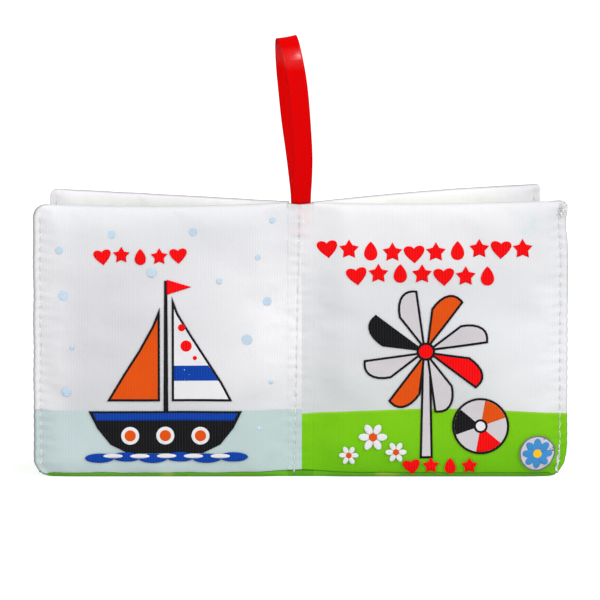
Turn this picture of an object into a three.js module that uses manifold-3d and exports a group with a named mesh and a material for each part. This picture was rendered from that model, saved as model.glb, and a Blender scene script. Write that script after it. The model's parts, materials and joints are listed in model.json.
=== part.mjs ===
// A rattle baby book: a soft cloth book of four padded leaves that stands open on its lower edges.
// Millimetres, +Z up. The covers stand in the XZ plane and face -Y, the inner leaves fan out behind them.
// The origin is the foot of the spine seam, in the middle of the cover panel's cloth.

import * as THREE from "three";
import { mergeVertices } from "three/addons/utils/BufferGeometryUtils.js";
import Module from "manifold-3d";

const wasm = await Module();
wasm.setup();

// Pages
const PAGE_WIDTH = 121.5;
const SPINE_HEIGHT = 125;
// The leaves were cut by hand: one cover a little shorter than the spine, the other a little taller.
const BACK_COVER_HEIGHT = SPINE_HEIGHT - 1;
const FRONT_COVER_HEIGHT = SPINE_HEIGHT + 1.5;
const INNER_LEAF_HEIGHT = SPINE_HEIGHT - 0.2;
const CORNER_RADIUS = 8;
const CLOTH = 0.55;
const PAD_HALF_THICKNESS = 4;
const EDGE_HALF_THICKNESS = 0.9;
const ROOT_HALF_THICKNESS = 0.62;
const ROOT_OVERHANG = 0.4;
const EDGE_ROLL = 10;
const FOOT_CUT = 0.5;

// How far from the hinge a face that no other leaf faces takes to reach its full thickness.
const OPEN_FACE_RISE = 16;
// Faces of neighbouring leaves rise more slowly, by this much more than their wedge needs.
const FACING_FULLNESS = 1.2;

// Leaf angles, in degrees
const INNER_LEFT_ANGLE = 19.6;
const INNER_RIGHT_ANGLE = 25.7;
const CLOSED_ANGLE = 13.5;

// Clearances
const PANEL_GAP = 0.3;
const FOAM_GAP = 0.5;
const PLY_GAP = 0.1;
const THREAD_GAP = 0.2;
const HINGE_GAP = 0.3;
const CAPSULE_GAP = 0.3;

// Spine seam
const SEAM_MARGIN = 0.1;
const COVER_HINGE_STEP = 0.3;

// Stitching
const STITCH_PITCH = 4.3;
const EDGE_STITCH_INSET = 3.4;
const EDGE_STITCH_MARGIN = 0.9;
const EDGE_STITCH_END = 6;
const SPINE_STITCH_END = 2;
const STITCH_GROOVE = 0.25;
const STITCH_GROOVE_WIDTH = 1.2;
const THREAD_WIDTH = 0.7;
const THREAD_HEIGHT = 0.45;
const THREAD_LIFT = 0.25;

// Foam sheets
const FOAM_SPINE_INSET = 11;
const FOAM_STITCH_MARGIN = 2.8;
const FOAM_END_INSET = 3;

// Ribbon
const RIBBON_WIDTH = 9;
const RIBBON_PLY = 0.4;
const RIBBON_SEWN_LENGTH = 14;
const RIBBON_ROOT_GAP = 0.8;
const RIBBON_STEPS = 48;

// Rattle
const CAPSULE_RADIUS = 13;
const CAPSULE_WALL = 0.9;
const CAPSULE_LIP = 0.6;
const CAPSULE_LIP_WALL = 0.8;
const BEAD_COUNT = 5;
const BEAD_GAP = 0.3;
const BEAD_SPACING = 0.2;
const CAPSULE_SIDES = 32;
const BEAD_SIDES = 12;
const BEAD_RINGS = 8;

// The grid of a cloth panel: its lines' distances from the hinge, the free edge, the foot and the top.
const HINGE_SIDE_LINES = [0, 4, 9, 16, 22, 29];
const PAD_INSET = EDGE_STITCH_INSET + EDGE_STITCH_MARGIN;
const FREE_SIDE_LINES = [0, EDGE_STITCH_INSET, PAD_INSET, PAD_INSET + 1, PAD_INSET + 3.5, PAD_INSET + 9];
const END_LINES = [0, 1, 3, 6, 10];
const FOAM_LINES = [0, 3, 9];
// Lines spread evenly over the middle, between those given from the ends.
const CLOTH_MIDDLE_COLUMNS = 2;
const CLOTH_MIDDLE_ROWS = 1;
const FOAM_MIDDLE_COLUMNS = 3;
const FOAM_MIDDLE_ROWS = 2;

const WHITE = new THREE.Color(0.9, 0.9, 0.92);
const ICY = new THREE.Color(0.84, 0.92, 0.93);
const GREEN = new THREE.Color(0.48, 0.74, 0.12);
const RED = new THREE.Color(0.85, 0.05, 0.06);

// The four cloth panels and the doubled ribbon lie face to face in the spine seam, from front to back.
const PLY_STEP = CLOTH + PLY_GAP;
const RIBBON_STACK = 2 * RIBBON_PLY;
const COVER_PANEL_Y = 0;
const PAGE_2_7_PANEL_Y = COVER_PANEL_Y + PLY_STEP;
const RIBBON_Y = PAGE_2_7_PANEL_Y + CLOTH / 2 + PLY_GAP + RIBBON_STACK / 2;
const PAGE_3_6_PANEL_Y = RIBBON_Y + RIBBON_STACK / 2 + PLY_GAP + CLOTH / 2;
const PAGE_4_5_PANEL_Y = PAGE_3_6_PANEL_Y + PLY_STEP;

// Each leaf turns about a line inside its own rounded root. A cover's line is carried by the inner leaf
// behind it, so the cover panel's strip leaves it room when that leaf is opened flat.
const ROOT_RADIUS = Math.hypot(ROOT_OVERHANG, ROOT_HALF_THICKNESS);
const INNER_PANEL_HALF_WIDTH = RIBBON_WIDTH / 2 + SEAM_MARGIN;
const INNER_HINGE_X = INNER_PANEL_HALF_WIDTH + HINGE_GAP + ROOT_RADIUS;
const INNER_HINGE_Y = (PAGE_3_6_PANEL_Y + PAGE_4_5_PANEL_Y) / 2;
const COVER_HINGE_X = INNER_HINGE_X + COVER_HINGE_STEP;
const COVER_HINGE_Y = (COVER_PANEL_Y + PAGE_2_7_PANEL_Y) / 2;
const HINGE_SEPARATION = INNER_HINGE_Y - COVER_HINGE_Y;
const flatTurn = THREE.MathUtils.degToRad(Math.max(INNER_LEFT_ANGLE, INNER_RIGHT_ANGLE));
const coverHingeAtFlat =
  INNER_HINGE_X + COVER_HINGE_STEP * Math.cos(flatTurn) - HINGE_SEPARATION * Math.sin(flatTurn);
const COVER_PANEL_HALF_WIDTH = coverHingeAtFlat - ROOT_RADIUS - HINGE_GAP;
const COVER_WIDTH = PAGE_WIDTH - COVER_HINGE_X;
const INNER_WIDTH = PAGE_WIDTH - INNER_HINGE_X;
const facingWedge = 2 * PAD_HALF_THICKNESS - HINGE_SEPARATION;
const FACING_FACE_RISE = (FACING_FULLNESS * facingWedge) / Math.tan(THREE.MathUtils.degToRad(CLOSED_ANGLE));

const clamp01 = (t) => Math.min(Math.max(t, 0), 1);
const smooth = (t) => clamp01(t) ** 2 * (3 - 2 * clamp01(t));
const roll = (distance) => Math.sqrt(1 - (1 - clamp01(distance / EDGE_ROLL)) ** 2);
const gaussian = (t) => Math.exp(-(t ** 2));

// Distances from the ends of a span, given from each end, with a few lines evenly between them.
function lines(start, end, fromStart, fromEnd, count) {
  const first = fromStart.map((distance) => start + distance);
  const last = fromEnd.map((distance) => end - distance).reverse();
  const step = (last[0] - first.at(-1)) / (count + 1);
  const between = Array.from({ length: count }, (_, i) => first.at(-1) + step * (i + 1));
  return [...first, ...between, ...last];
}

function indexed(points, faces) {
  const geometry = new THREE.BufferGeometry();
  geometry.setAttribute("position", new THREE.Float32BufferAttribute(points, 3));
  geometry.setIndex(faces);
  geometry.computeVertexNormals();
  return geometry;
}

// A closed sheet between a back and a front surface, over a grid of places along the leaf and up it.
function slab(us, zs, placeU, backSurface, frontSurface) {
  const columns = us.length;
  const points = [];
  for (const surface of [backSurface, frontSurface]) {
    for (const z of zs) {
      for (const u of us) {
        const x = placeU(u, z);
        points.push(x, surface(x, z), z);
      }
    }
  }
  const at = (i, j, layer) => layer * columns * zs.length + j * columns + i;
  const faces = [];
  const quad = (a, b, c, d) => faces.push(a, b, c, a, c, d);
  const lastRow = zs.length - 1;
  const lastColumn = columns - 1;
  for (let j = 0; j < lastRow; j++) {
    for (let i = 0; i < lastColumn; i++) {
      quad(at(i, j, 0), at(i, j + 1, 0), at(i + 1, j + 1, 0), at(i + 1, j, 0));
      quad(at(i, j, 1), at(i + 1, j, 1), at(i + 1, j + 1, 1), at(i, j + 1, 1));
    }
    quad(at(0, j, 0), at(0, j, 1), at(0, j + 1, 1), at(0, j + 1, 0));
    quad(at(lastColumn, j, 0), at(lastColumn, j + 1, 0), at(lastColumn, j + 1, 1), at(lastColumn, j, 1));
  }
  for (let i = 0; i < lastColumn; i++) {
    quad(at(i, 0, 0), at(i + 1, 0, 0), at(i + 1, 0, 1), at(i, 0, 1));
    quad(at(i, lastRow, 0), at(i, lastRow, 1), at(i + 1, lastRow, 1), at(i + 1, lastRow, 0));
  }
  return indexed(points, faces);
}

// A closed tube through rings of as many points each, with flat ends.
function loft(rings) {
  const sides = rings[0].length;
  const points = rings.flat().flatMap((p) => [p.x, p.y, p.z]);
  const faces = [];
  for (let ring = 0; ring < rings.length - 1; ring++) {
    for (let side = 0; side < sides; side++) {
      const here = ring * sides + side;
      const beside = ring * sides + ((side + 1) % sides);
      faces.push(here, beside, beside + sides, here, beside + sides, here + sides);
    }
  }
  const lastRing = (rings.length - 1) * sides;
  for (let side = 1; side < sides - 1; side++) {
    faces.push(0, side + 1, side);
    faces.push(lastRing, lastRing + side, lastRing + side + 1);
  }
  return indexed(points, faces);
}

// The same geometry for a leaf that points the other way, with its faces turned to point out again.
function mirrored(geometry) {
  const copy = geometry.clone().scale(-1, 1, 1);
  const order = Array.from(copy.index.array);
  const turned = order.map((_, i) => order[i - (i % 3) + ((3 - (i % 3)) % 3)]);
  copy.setIndex(turned);
  copy.computeVertexNormals();
  return copy;
}

function solidOf(geometry) {
  const bare = geometry.clone();
  bare.deleteAttribute("normal");
  bare.deleteAttribute("uv");
  const merged = mergeVertices(bare);
  const vertProperties = new Float32Array(merged.attributes.position.array);
  const triVerts = new Uint32Array(merged.index.array);
  return new wasm.Manifold(new wasm.Mesh({ numProp: 3, vertProperties, triVerts }));
}

function geometryOf(solid) {
  const mesh = solid.getMesh();
  return indexed(Array.from(mesh.vertProperties), Array.from(mesh.triVerts));
}

function finish(color, roughness) {
  return new THREE.MeshStandardMaterial({ color, roughness, metalness: 0 });
}

const whiteCloth = finish(WHITE, 0.85);
const icyCloth = finish(ICY, 0.85);
const greenCloth = finish(GREEN, 0.85);
const foamFinish = finish(new THREE.Color(0.95, 0.93, 0.84), 0.95);
const threadFinish = finish(new THREE.Color(0.93, 0.93, 0.93), 0.7);
const ribbonFinish = finish(RED, 0.4);
const capsuleFinish = finish(new THREE.Color(0.9, 0.91, 0.93), 0.35);
const beadFinish = finish(new THREE.Color(0.95, 0.62, 0.1), 0.35);

function named(name, geometry, surfaceFinish) {
  const mesh = new THREE.Mesh(geometry, surfaceFinish);
  mesh.name = name;
  return mesh;
}

// A row of stitches along a seam: the thread stands proud between its needle holes.
// along gives the cloth's surface at a height, and side is the way out from it along Y.
function stitching(along, start, end, side) {
  const stitches = Math.round((end - start) / STITCH_PITCH);
  const halfStitch = (end - start) / (2 * stitches);
  const rings = [];
  for (let i = 0; i <= 2 * stitches; i++) {
    const { x, y, z } = along(start + i * halfStitch);
    const lift = THREAD_GAP + (i % 2 === 1 ? THREAD_LIFT : 0);
    const underside = y + side * lift;
    const crest = y + side * (lift + THREAD_HEIGHT);
    const corners = [
      new THREE.Vector3(x - THREAD_WIDTH / 2, underside, z),
      new THREE.Vector3(x + THREAD_WIDTH / 2, underside, z),
      new THREE.Vector3(x, crest, z),
    ];
    rings.push(side > 0 ? corners : corners.reverse());
  }
  return loft(rings);
}

// One leaf: two cloth panels sewn together round a foam sheet and stitched down its free edge.
// It points along +X from its hinge line, and its front face looks along -Y.
class Leaf {
  constructor(height, width, frontRise, backRise) {
    this.height = height;
    this.width = width;
    this.frontRise = frontRise;
    this.backRise = backRise;
    this.us = lines(-ROOT_OVERHANG, width, HINGE_SIDE_LINES, FREE_SIDE_LINES, CLOTH_MIDDLE_COLUMNS);
    this.zs = lines(0, height, END_LINES, END_LINES, CLOTH_MIDDLE_ROWS);
  }

  // The free edge as far out as the rounded corners let it be, at a height z.
  freeEdge(z) {
    const fromEnd = Math.min(z, this.height - z, CORNER_RADIUS);
    return this.width - CORNER_RADIUS + Math.sqrt(CORNER_RADIUS ** 2 - (CORNER_RADIUS - fromEnd) ** 2);
  }

  // The cloth's outer surface: the pad crowns in the middle, rolls down to the seams at the foot and
  // the top, ends at the stitching of the free edge, and thins towards the spine.
  surface(side, u, z) {
    const fromFreeEdge = this.freeEdge(z) - u;
    const pad = roll(fromFreeEdge - PAD_INSET) * roll(z + FOOT_CUT) * roll(this.height - z);
    const edge = EDGE_HALF_THICKNESS + (PAD_HALF_THICKNESS - EDGE_HALF_THICKNESS) * pad;
    const rise = smooth((u + ROOT_OVERHANG) / (side < 0 ? this.frontRise : this.backRise));
    const groove = STITCH_GROOVE * gaussian((fromFreeEdge - EDGE_STITCH_INSET) / STITCH_GROOVE_WIDTH);
    return side * (ROOT_HALF_THICKNESS + (edge - ROOT_HALF_THICKNESS) * rise - groove);
  }

  cloth(side) {
    const outside = (u, z) => this.surface(side, u, z);
    const lining = (u, z) => side * Math.max(Math.abs(outside(u, z)) - CLOTH, PANEL_GAP / 2);
    const placeU = (u, z) => u - (Math.max(u, 0) / this.width) * (this.width - this.freeEdge(z));
    return side > 0
      ? slab(this.us, this.zs, placeU, outside, lining)
      : slab(this.us, this.zs, placeU, lining, outside);
  }

  foam() {
    const end = this.width - PAD_INSET - FOAM_STITCH_MARGIN;
    const length = end - FOAM_SPINE_INSET;
    const top = this.height - FOAM_END_INSET;
    const us = lines(FOAM_SPINE_INSET, end, FOAM_LINES, FOAM_LINES, FOAM_MIDDLE_COLUMNS);
    const zs = lines(FOAM_END_INSET, top, FOAM_LINES, FOAM_LINES, FOAM_MIDDLE_ROWS);
    const inside = (side) => (u, z) => this.surface(side, u, z) - side * (CLOTH + FOAM_GAP);
    const placeU = (u, z) => u - ((u - FOAM_SPINE_INSET) / length) * (this.width - this.freeEdge(z));
    return slab(us, zs, placeU, inside(1), inside(-1));
  }

  thread(side) {
    const u = this.width - EDGE_STITCH_INSET;
    const along = (z) => ({ x: u, y: this.surface(side, u, z), z });
    return stitching(along, EDGE_STITCH_END, this.height - EDGE_STITCH_END, side);
  }
}

// The rattle's capsule sits in a round hole in the middle of one leaf's foam.
const capsuleU = INNER_WIDTH / 2;
const capsuleZ = INNER_LEAF_HEIGHT / 2;
const capsuleHalf = PAD_HALF_THICKNESS - CLOTH - CAPSULE_GAP;
const cavityRadius = CAPSULE_RADIUS - CAPSULE_WALL;
const cavityFloor = -capsuleHalf + CAPSULE_WALL;
const lidUnderside = capsuleHalf - CAPSULE_WALL;
const cavityCeiling = lidUnderside - CAPSULE_LIP;
const BEAD_RADIUS = (cavityCeiling - cavityFloor) / 2 - BEAD_GAP;
const BEAD_LANE = 2 * BEAD_RADIUS + BEAD_SPACING;

function turnedAcrossLeaf(profile) {
  const points = profile.map(([radius, w]) => new THREE.Vector2(radius, w));
  return new THREE.LatheGeometry(points, CAPSULE_SIDES).translate(capsuleU, 0, capsuleZ);
}

function foamWithHole(leaf) {
  const radius = CAPSULE_RADIUS + CAPSULE_GAP;
  const hole = new THREE.CylinderGeometry(radius, radius, 4 * PAD_HALF_THICKNESS, CAPSULE_SIDES);
  hole.translate(capsuleU, 0, capsuleZ);
  return geometryOf(solidOf(leaf.foam()).subtract(solidOf(hole)));
}

function capsuleBase() {
  const rim = lidUnderside - PLY_GAP;
  return turnedAcrossLeaf([
    [0, -capsuleHalf],
    [CAPSULE_RADIUS, -capsuleHalf],
    [CAPSULE_RADIUS, rim],
    [cavityRadius, rim],
    [cavityRadius, cavityFloor],
    [0, cavityFloor],
  ]);
}

function capsuleLid() {
  const lipOuter = cavityRadius - CAPSULE_GAP;
  const lipInner = lipOuter - CAPSULE_LIP_WALL;
  return turnedAcrossLeaf([
    [0, lidUnderside],
    [lipInner, lidUnderside],
    [lipInner, cavityCeiling],
    [lipOuter, cavityCeiling],
    [lipOuter, lidUnderside],
    [CAPSULE_RADIUS, lidUnderside],
    [CAPSULE_RADIUS, capsuleHalf],
    [0, capsuleHalf],
  ]);
}

// The beads lie side by side along the lowest part of the cavity's wall.
function bead(index) {
  const lane = (index - (BEAD_COUNT - 1) / 2) * BEAD_LANE;
  const reach = cavityRadius - BEAD_RADIUS - BEAD_GAP;
  const drop = Math.sqrt(reach ** 2 - lane ** 2);
  const ball = new THREE.SphereGeometry(BEAD_RADIUS, BEAD_SIDES, BEAD_RINGS);
  return ball.translate(capsuleU + lane, (cavityFloor + cavityCeiling) / 2, capsuleZ - drop);
}

// The stretch of a cloth panel that the spine's stitches go through.
function spinePanel(name, y, halfWidth, clothFinish) {
  const strip = new THREE.BoxGeometry(2 * halfWidth, CLOTH, SPINE_HEIGHT);
  return named(name, strip.translate(0, y, SPINE_HEIGHT / 2), clothFinish);
}

function spineThread(name, panelY, side) {
  const along = (z) => ({ x: 0, y: panelY + (side * CLOTH) / 2, z });
  const row = stitching(along, SPINE_STITCH_END, SPINE_HEIGHT - SPINE_STITCH_END, side);
  return named(name, row, threadFinish);
}

function ribbonSewnEnds() {
  const block = new THREE.BoxGeometry(RIBBON_WIDTH, RIBBON_STACK, RIBBON_SEWN_LENGTH);
  block.translate(0, RIBBON_Y, SPINE_HEIGHT - RIBBON_SEWN_LENGTH / 2);
  return named("ribbon_sewn_ends", block, ribbonFinish);
}

// The ribbon's middle line, up its front leg, over the fold and down its back leg.
// Each point is its lean along X, its place behind the seam's middle, and its height over the root.
const RIBBON_ROUTE = [
  [0.2, -0.22, 0],
  [0.4, -0.9, 4.5],
  [0.8, -2.5, 12.5],
  [0.9, -4.3, 23.5],
  [0.3, -5.4, 36.5],
  [-0.8, -5.9, 50.5],
  [-2.2, -5.7, 61.5],
  [-3.6, -5, 68.5],
  [-5.1, -3.2, 74],
  [-6.3, -0.2, 76.4],
  [-6.9, 3.4, 74.8],
  [-7, 5.6, 70],
  [-6.6, 6.4, 61.5],
  [-5.5, 6.3, 49.5],
  [-4.1, 5.6, 36.5],
  [-2.3, 4.3, 23.5],
  [-0.9, 2.6, 12.5],
  [0, 0.9, 4.5],
  [0.2, 0.22, 0],
];

function ribbonLoop() {
  const rootZ = SPINE_HEIGHT + RIBBON_ROOT_GAP;
  const points = RIBBON_ROUTE.map(([x, y, z]) => new THREE.Vector3(x, RIBBON_Y + y, rootZ + z));
  const route = new THREE.CatmullRomCurve3(points, false, "centripetal");
  const across = new THREE.Vector3(RIBBON_WIDTH / 2, 0, 0);
  const rings = [];
  for (let i = 0; i <= RIBBON_STEPS; i++) {
    const centre = route.getPointAt(i / RIBBON_STEPS);
    const out = new THREE.Vector3().crossVectors(across, route.getTangentAt(i / RIBBON_STEPS));
    out.setLength(RIBBON_PLY / 2);
    rings.push([
      centre.clone().sub(across).add(out),
      centre.clone().add(across).add(out),
      centre.clone().add(across).sub(out),
      centre.clone().sub(across).sub(out),
    ]);
  }
  return named("ribbon_loop", loft(rings), ribbonFinish);
}

// A leaf's pieces in a group of their own, which stands at the leaf's hinge line and is turned to its angle.
function leafGroup(leafName, leaf, front, back, foam, pointsLeft, hinge, angle) {
  const side = (geometry) => (pointsLeft ? mirrored(geometry) : geometry);
  const group = new THREE.Group();
  group.add(named(front.name, side(leaf.cloth(-1)), front.finish));
  group.add(named(back.name, side(leaf.cloth(1)), back.finish));
  group.add(named(leafName + "_foam", side(foam), foamFinish));
  group.add(named(leafName + "_top_thread", side(leaf.thread(-1)), threadFinish));
  group.add(named(leafName + "_bobbin_thread", side(leaf.thread(1)), threadFinish));
  group.position.set(pointsLeft ? -hinge.x : hinge.x, hinge.y, 0);
  group.rotation.z = THREE.MathUtils.degToRad(pointsLeft ? -angle : angle);
  return group;
}

const coverHinge = { x: COVER_HINGE_X, y: COVER_HINGE_Y };
const innerHinge = { x: INNER_HINGE_X, y: INNER_HINGE_Y };
const backCoverLeaf = new Leaf(BACK_COVER_HEIGHT, COVER_WIDTH, OPEN_FACE_RISE, FACING_FACE_RISE);
const frontCoverLeaf = new Leaf(FRONT_COVER_HEIGHT, COVER_WIDTH, OPEN_FACE_RISE, FACING_FACE_RISE);
const innerLeaf = new Leaf(INNER_LEAF_HEIGHT, INNER_WIDTH, FACING_FACE_RISE, OPEN_FACE_RISE);

const spine = new THREE.Group();
spine.add(spinePanel("cover_panel_at_spine", COVER_PANEL_Y, COVER_PANEL_HALF_WIDTH, whiteCloth));
spine.add(spinePanel("page_2_7_panel_at_spine", PAGE_2_7_PANEL_Y, COVER_PANEL_HALF_WIDTH, greenCloth));
spine.add(spinePanel("page_3_6_panel_at_spine", PAGE_3_6_PANEL_Y, INNER_PANEL_HALF_WIDTH, icyCloth));
spine.add(spinePanel("page_4_5_panel_at_spine", PAGE_4_5_PANEL_Y, INNER_PANEL_HALF_WIDTH, greenCloth));
spine.add(spineThread("spine_top_thread", COVER_PANEL_Y, -1));
spine.add(spineThread("spine_bobbin_thread", PAGE_4_5_PANEL_Y, 1));
spine.add(ribbonSewnEnds());

const backCover = leafGroup(
  "back_cover",
  backCoverLeaf,
  { name: "back_cover_cloth", finish: icyCloth },
  { name: "page_7_cloth", finish: greenCloth },
  backCoverLeaf.foam(),
  true,
  coverHinge,
  0,
);
const frontCover = leafGroup(
  "front_cover",
  frontCoverLeaf,
  { name: "front_cover_cloth", finish: whiteCloth },
  { name: "page_2_cloth", finish: greenCloth },
  frontCoverLeaf.foam(),
  false,
  coverHinge,
  0,
);
const innerLeft = leafGroup(
  "inner_left",
  innerLeaf,
  { name: "page_6_cloth", finish: icyCloth },
  { name: "page_5_cloth", finish: greenCloth },
  innerLeaf.foam(),
  true,
  innerHinge,
  INNER_LEFT_ANGLE,
);
const innerRight = leafGroup(
  "inner_right",
  innerLeaf,
  { name: "page_3_cloth", finish: icyCloth },
  { name: "page_4_cloth", finish: greenCloth },
  foamWithHole(innerLeaf),
  false,
  innerHinge,
  INNER_RIGHT_ANGLE,
);
innerRight.add(named("rattle_capsule_base", capsuleBase(), capsuleFinish));
innerRight.add(named("rattle_capsule_lid", capsuleLid(), capsuleFinish));
for (let i = 0; i < BEAD_COUNT; i++) {
  innerRight.add(named("rattle_bead_" + (i + 1), bead(i), beadFinish));
}

const book = new THREE.Group();
book.add(spine, backCover, frontCover, innerLeft, innerRight, ribbonLoop());

export default book;
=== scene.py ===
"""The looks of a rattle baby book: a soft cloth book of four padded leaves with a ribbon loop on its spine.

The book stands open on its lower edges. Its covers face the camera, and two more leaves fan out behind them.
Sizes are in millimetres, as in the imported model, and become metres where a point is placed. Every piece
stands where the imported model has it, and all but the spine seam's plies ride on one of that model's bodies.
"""

import json
import logging
import math
import random
from bisect import bisect_right
from collections.abc import Callable, Sequence
from dataclasses import dataclass
from enum import Enum
from functools import reduce

import bmesh
import bpy
from bmesh.types import BMEdge, BMVert, BMesh
from bpy.types import Material, Node, NodeSocket, NodeTree, Object
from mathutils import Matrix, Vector, noise

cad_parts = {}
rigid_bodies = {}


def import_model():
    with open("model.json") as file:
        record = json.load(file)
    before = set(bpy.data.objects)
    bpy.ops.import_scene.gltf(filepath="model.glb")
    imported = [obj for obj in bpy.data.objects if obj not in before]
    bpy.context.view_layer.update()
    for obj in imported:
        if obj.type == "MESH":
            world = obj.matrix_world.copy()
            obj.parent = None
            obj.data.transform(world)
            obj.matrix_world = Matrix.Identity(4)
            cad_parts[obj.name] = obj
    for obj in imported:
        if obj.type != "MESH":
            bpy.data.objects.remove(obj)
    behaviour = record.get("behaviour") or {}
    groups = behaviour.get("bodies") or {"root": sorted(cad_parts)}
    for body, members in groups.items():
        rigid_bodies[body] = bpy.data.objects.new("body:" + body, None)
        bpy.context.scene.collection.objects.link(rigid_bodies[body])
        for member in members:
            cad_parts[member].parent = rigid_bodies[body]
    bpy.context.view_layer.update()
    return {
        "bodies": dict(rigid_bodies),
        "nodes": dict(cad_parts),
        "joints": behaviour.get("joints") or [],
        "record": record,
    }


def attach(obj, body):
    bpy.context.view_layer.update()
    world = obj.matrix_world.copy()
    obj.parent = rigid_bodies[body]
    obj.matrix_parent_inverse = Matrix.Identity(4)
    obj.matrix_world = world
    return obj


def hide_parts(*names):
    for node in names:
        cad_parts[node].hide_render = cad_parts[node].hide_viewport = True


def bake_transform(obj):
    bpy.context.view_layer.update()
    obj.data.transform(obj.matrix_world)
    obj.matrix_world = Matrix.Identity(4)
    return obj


log = logging.getLogger("rattle_baby_book")

MM = 0.001

# Pages
PAGE_WIDTH = 121.5
SPINE_HEIGHT = 125.0
BACK_COVER_HEIGHT = SPINE_HEIGHT - 1
FRONT_COVER_HEIGHT = SPINE_HEIGHT + 1.5
INNER_LEAF_HEIGHT = SPINE_HEIGHT - 0.2
CORNER_RADIUS = 8.0
CLOTH = 0.55
PAD_HALF_THICKNESS = 4.0
EDGE_HALF_THICKNESS = 0.9
ROOT_HALF_THICKNESS = 0.62
ROOT_OVERHANG = 0.4
EDGE_ROLL = 10.0
FOOT_CUT = 0.5
OPEN_FACE_RISE = 16.0
FACING_FULLNESS = 1.2

# Leaf angles, in degrees
INNER_LEFT_ANGLE = 19.6
INNER_RIGHT_ANGLE = 25.7
CLOSED_ANGLE = 13.5

# Clearances
PLY_GAP = 0.1
HINGE_GAP = 0.3
SEAM_MARGIN = 0.1
COVER_HINGE_STEP = 0.3
CLOTH_CLEARANCE = 0.08
RIBBON_CLEARANCE = 0.1

# Stitching
STITCH_PITCH = 4.3
STITCH_GAP = 0.7
EDGE_STITCH_INSET = 3.4
EDGE_STITCH_GAP = 0.05
PAD_INSET = EDGE_STITCH_INSET + 0.9
EDGE_STITCH_END = 4.3
SPINE_STITCH_END = 2.0
STITCH_GROOVE = 0.1
STITCH_GROOVE_WIDTH = 1.2
THREAD_RADIUS = 0.2
EDGE_THREAD_RADIUS = 0.22
SPINE_SEAM_FOOT_X = -2.9
SPINE_SEAM_TOP_X = -0.4

# Ribbon
RIBBON_WIDTH = 9.0
RIBBON_PLY = 0.4
RIBBON_SEWN_LENGTH = 14.0
RIBBON_ROOT_GAP = 0.8
RIBBON_LENGTH = 158.0
GLOSS_FROM_FOLD = 18.5

# Where the plies of the spine seam lie, from front to back, and the leaves' hinge lines
PLY_STEP = CLOTH + PLY_GAP
COVER_PLY_Y = 0.0
PAGE_2_7_PLY_Y = COVER_PLY_Y + PLY_STEP
RIBBON_Y = PAGE_2_7_PLY_Y + CLOTH / 2 + PLY_GAP + RIBBON_PLY
PAGE_3_6_PLY_Y = RIBBON_Y + RIBBON_PLY + PLY_GAP + CLOTH / 2
PAGE_4_5_PLY_Y = PAGE_3_6_PLY_Y + PLY_STEP
ROOT_RADIUS = math.hypot(ROOT_OVERHANG, ROOT_HALF_THICKNESS)
INNER_HINGE_X = RIBBON_WIDTH / 2 + SEAM_MARGIN + HINGE_GAP + ROOT_RADIUS
INNER_HINGE_Y = (PAGE_3_6_PLY_Y + PAGE_4_5_PLY_Y) / 2
COVER_HINGE_X = INNER_HINGE_X + COVER_HINGE_STEP
COVER_HINGE_Y = (COVER_PLY_Y + PAGE_2_7_PLY_Y) / 2
FACING_WEDGE = 2 * PAD_HALF_THICKNESS - (INNER_HINGE_Y - COVER_HINGE_Y)
FACING_FACE_RISE = FACING_FULLNESS * FACING_WEDGE / math.tan(math.radians(CLOSED_ANGLE))

# Foam
FOAM_START = 11.0
FOAM_END_GAP = 3.0
FOAM_EDGE_GAP = 2.8
FOAM_GAP = 0.5
CAPSULE_RADIUS = 13.0
CAPSULE_GAP = 0.5
HOLE_RADIUS = CAPSULE_RADIUS + CAPSULE_GAP
RATTLE_PLACE = ((PAGE_WIDTH - INNER_HINGE_X) / 2, INNER_LEAF_HEIGHT / 2)

# Rims and rolls of the cloth
CLOTH_STEP = 1.1
RIM_ROLL = 0.9
RIM_GAP = 0.05
SEAM_SHIFT = 0.7
SEAM_SHIFT_REACH = 4.0
TOP_FULLNESS = 1.0
TOP_TUCK = 0.9
TOP_TUCK_REACH = 2.0
FACING_ROOM = 0.5
FACING_LEAST = 0.15
FOOT_ROLL = 2.0
FOOT_ROLL_AT_SPINE = 0.8
FOOT_TUCK_REACH = 0.6
FRONT_FOOT_TUCK = 0.8 * CLOTH
DRAWN_FOOT_REACH = 15.0
SIDE_SEED = 7.3

# Folds beside the spine's stitching
SPINE_GROOVE = 0.05
SPINE_PUCKERS = 0.09
SPINE_FOLDS = 0.5
SPINE_FINE_FOLDS = 0.22

# Prints, and the painted shade of seams, needle holes and the foot's roll
PANEL_PRINT_SPLIT_X = 0.6
HILL_TOP_X = 62.5
HILL_TOP_Z = 32.0
HILL_HALF_WIDTH = 60.0
HILL_DROP = 2.8
ICY_BAND_Z = 31.2
# Painted shade: the grey that darkens the seams, the needle holes and the roll under the foot, and how far it
# reaches from the outline.
SEAM_SHADE = (180, 178, 176)
SEAM_SHADE_REACH = 0.3
NEEDLE_HOLE_RADIUS = 0.42

# Camera and room
PICTURE_PIXELS = 600
PIXELS_PER_MM = 2.2
VIEW_ELEVATION = 10.2
CAMERA_DISTANCE = 5000.0
SENSOR_WIDTH = 36.0
PICTURE_CENTRE_X = -0.2
PICTURE_CENTRE_Z = 81.6
SURROUND_STRENGTH = 0.54
FLOOR_GLOW = 0.62


class Side(Enum):
    """The faces of a leaf: the front one looks towards the camera where the covers stand in line."""

    FRONT = -1
    BACK = 1


class Hand(Enum):
    """The way a leaf points from the spine, as the camera sees it."""

    LEFT = -1
    RIGHT = 1


class Ground(Enum):
    """The printed or dyed ground of a cloth panel."""

    COVER = "cover_panel_cloth"
    ICY = "icy_page_cloth"
    GREEN = "green_page_cloth"


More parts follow.
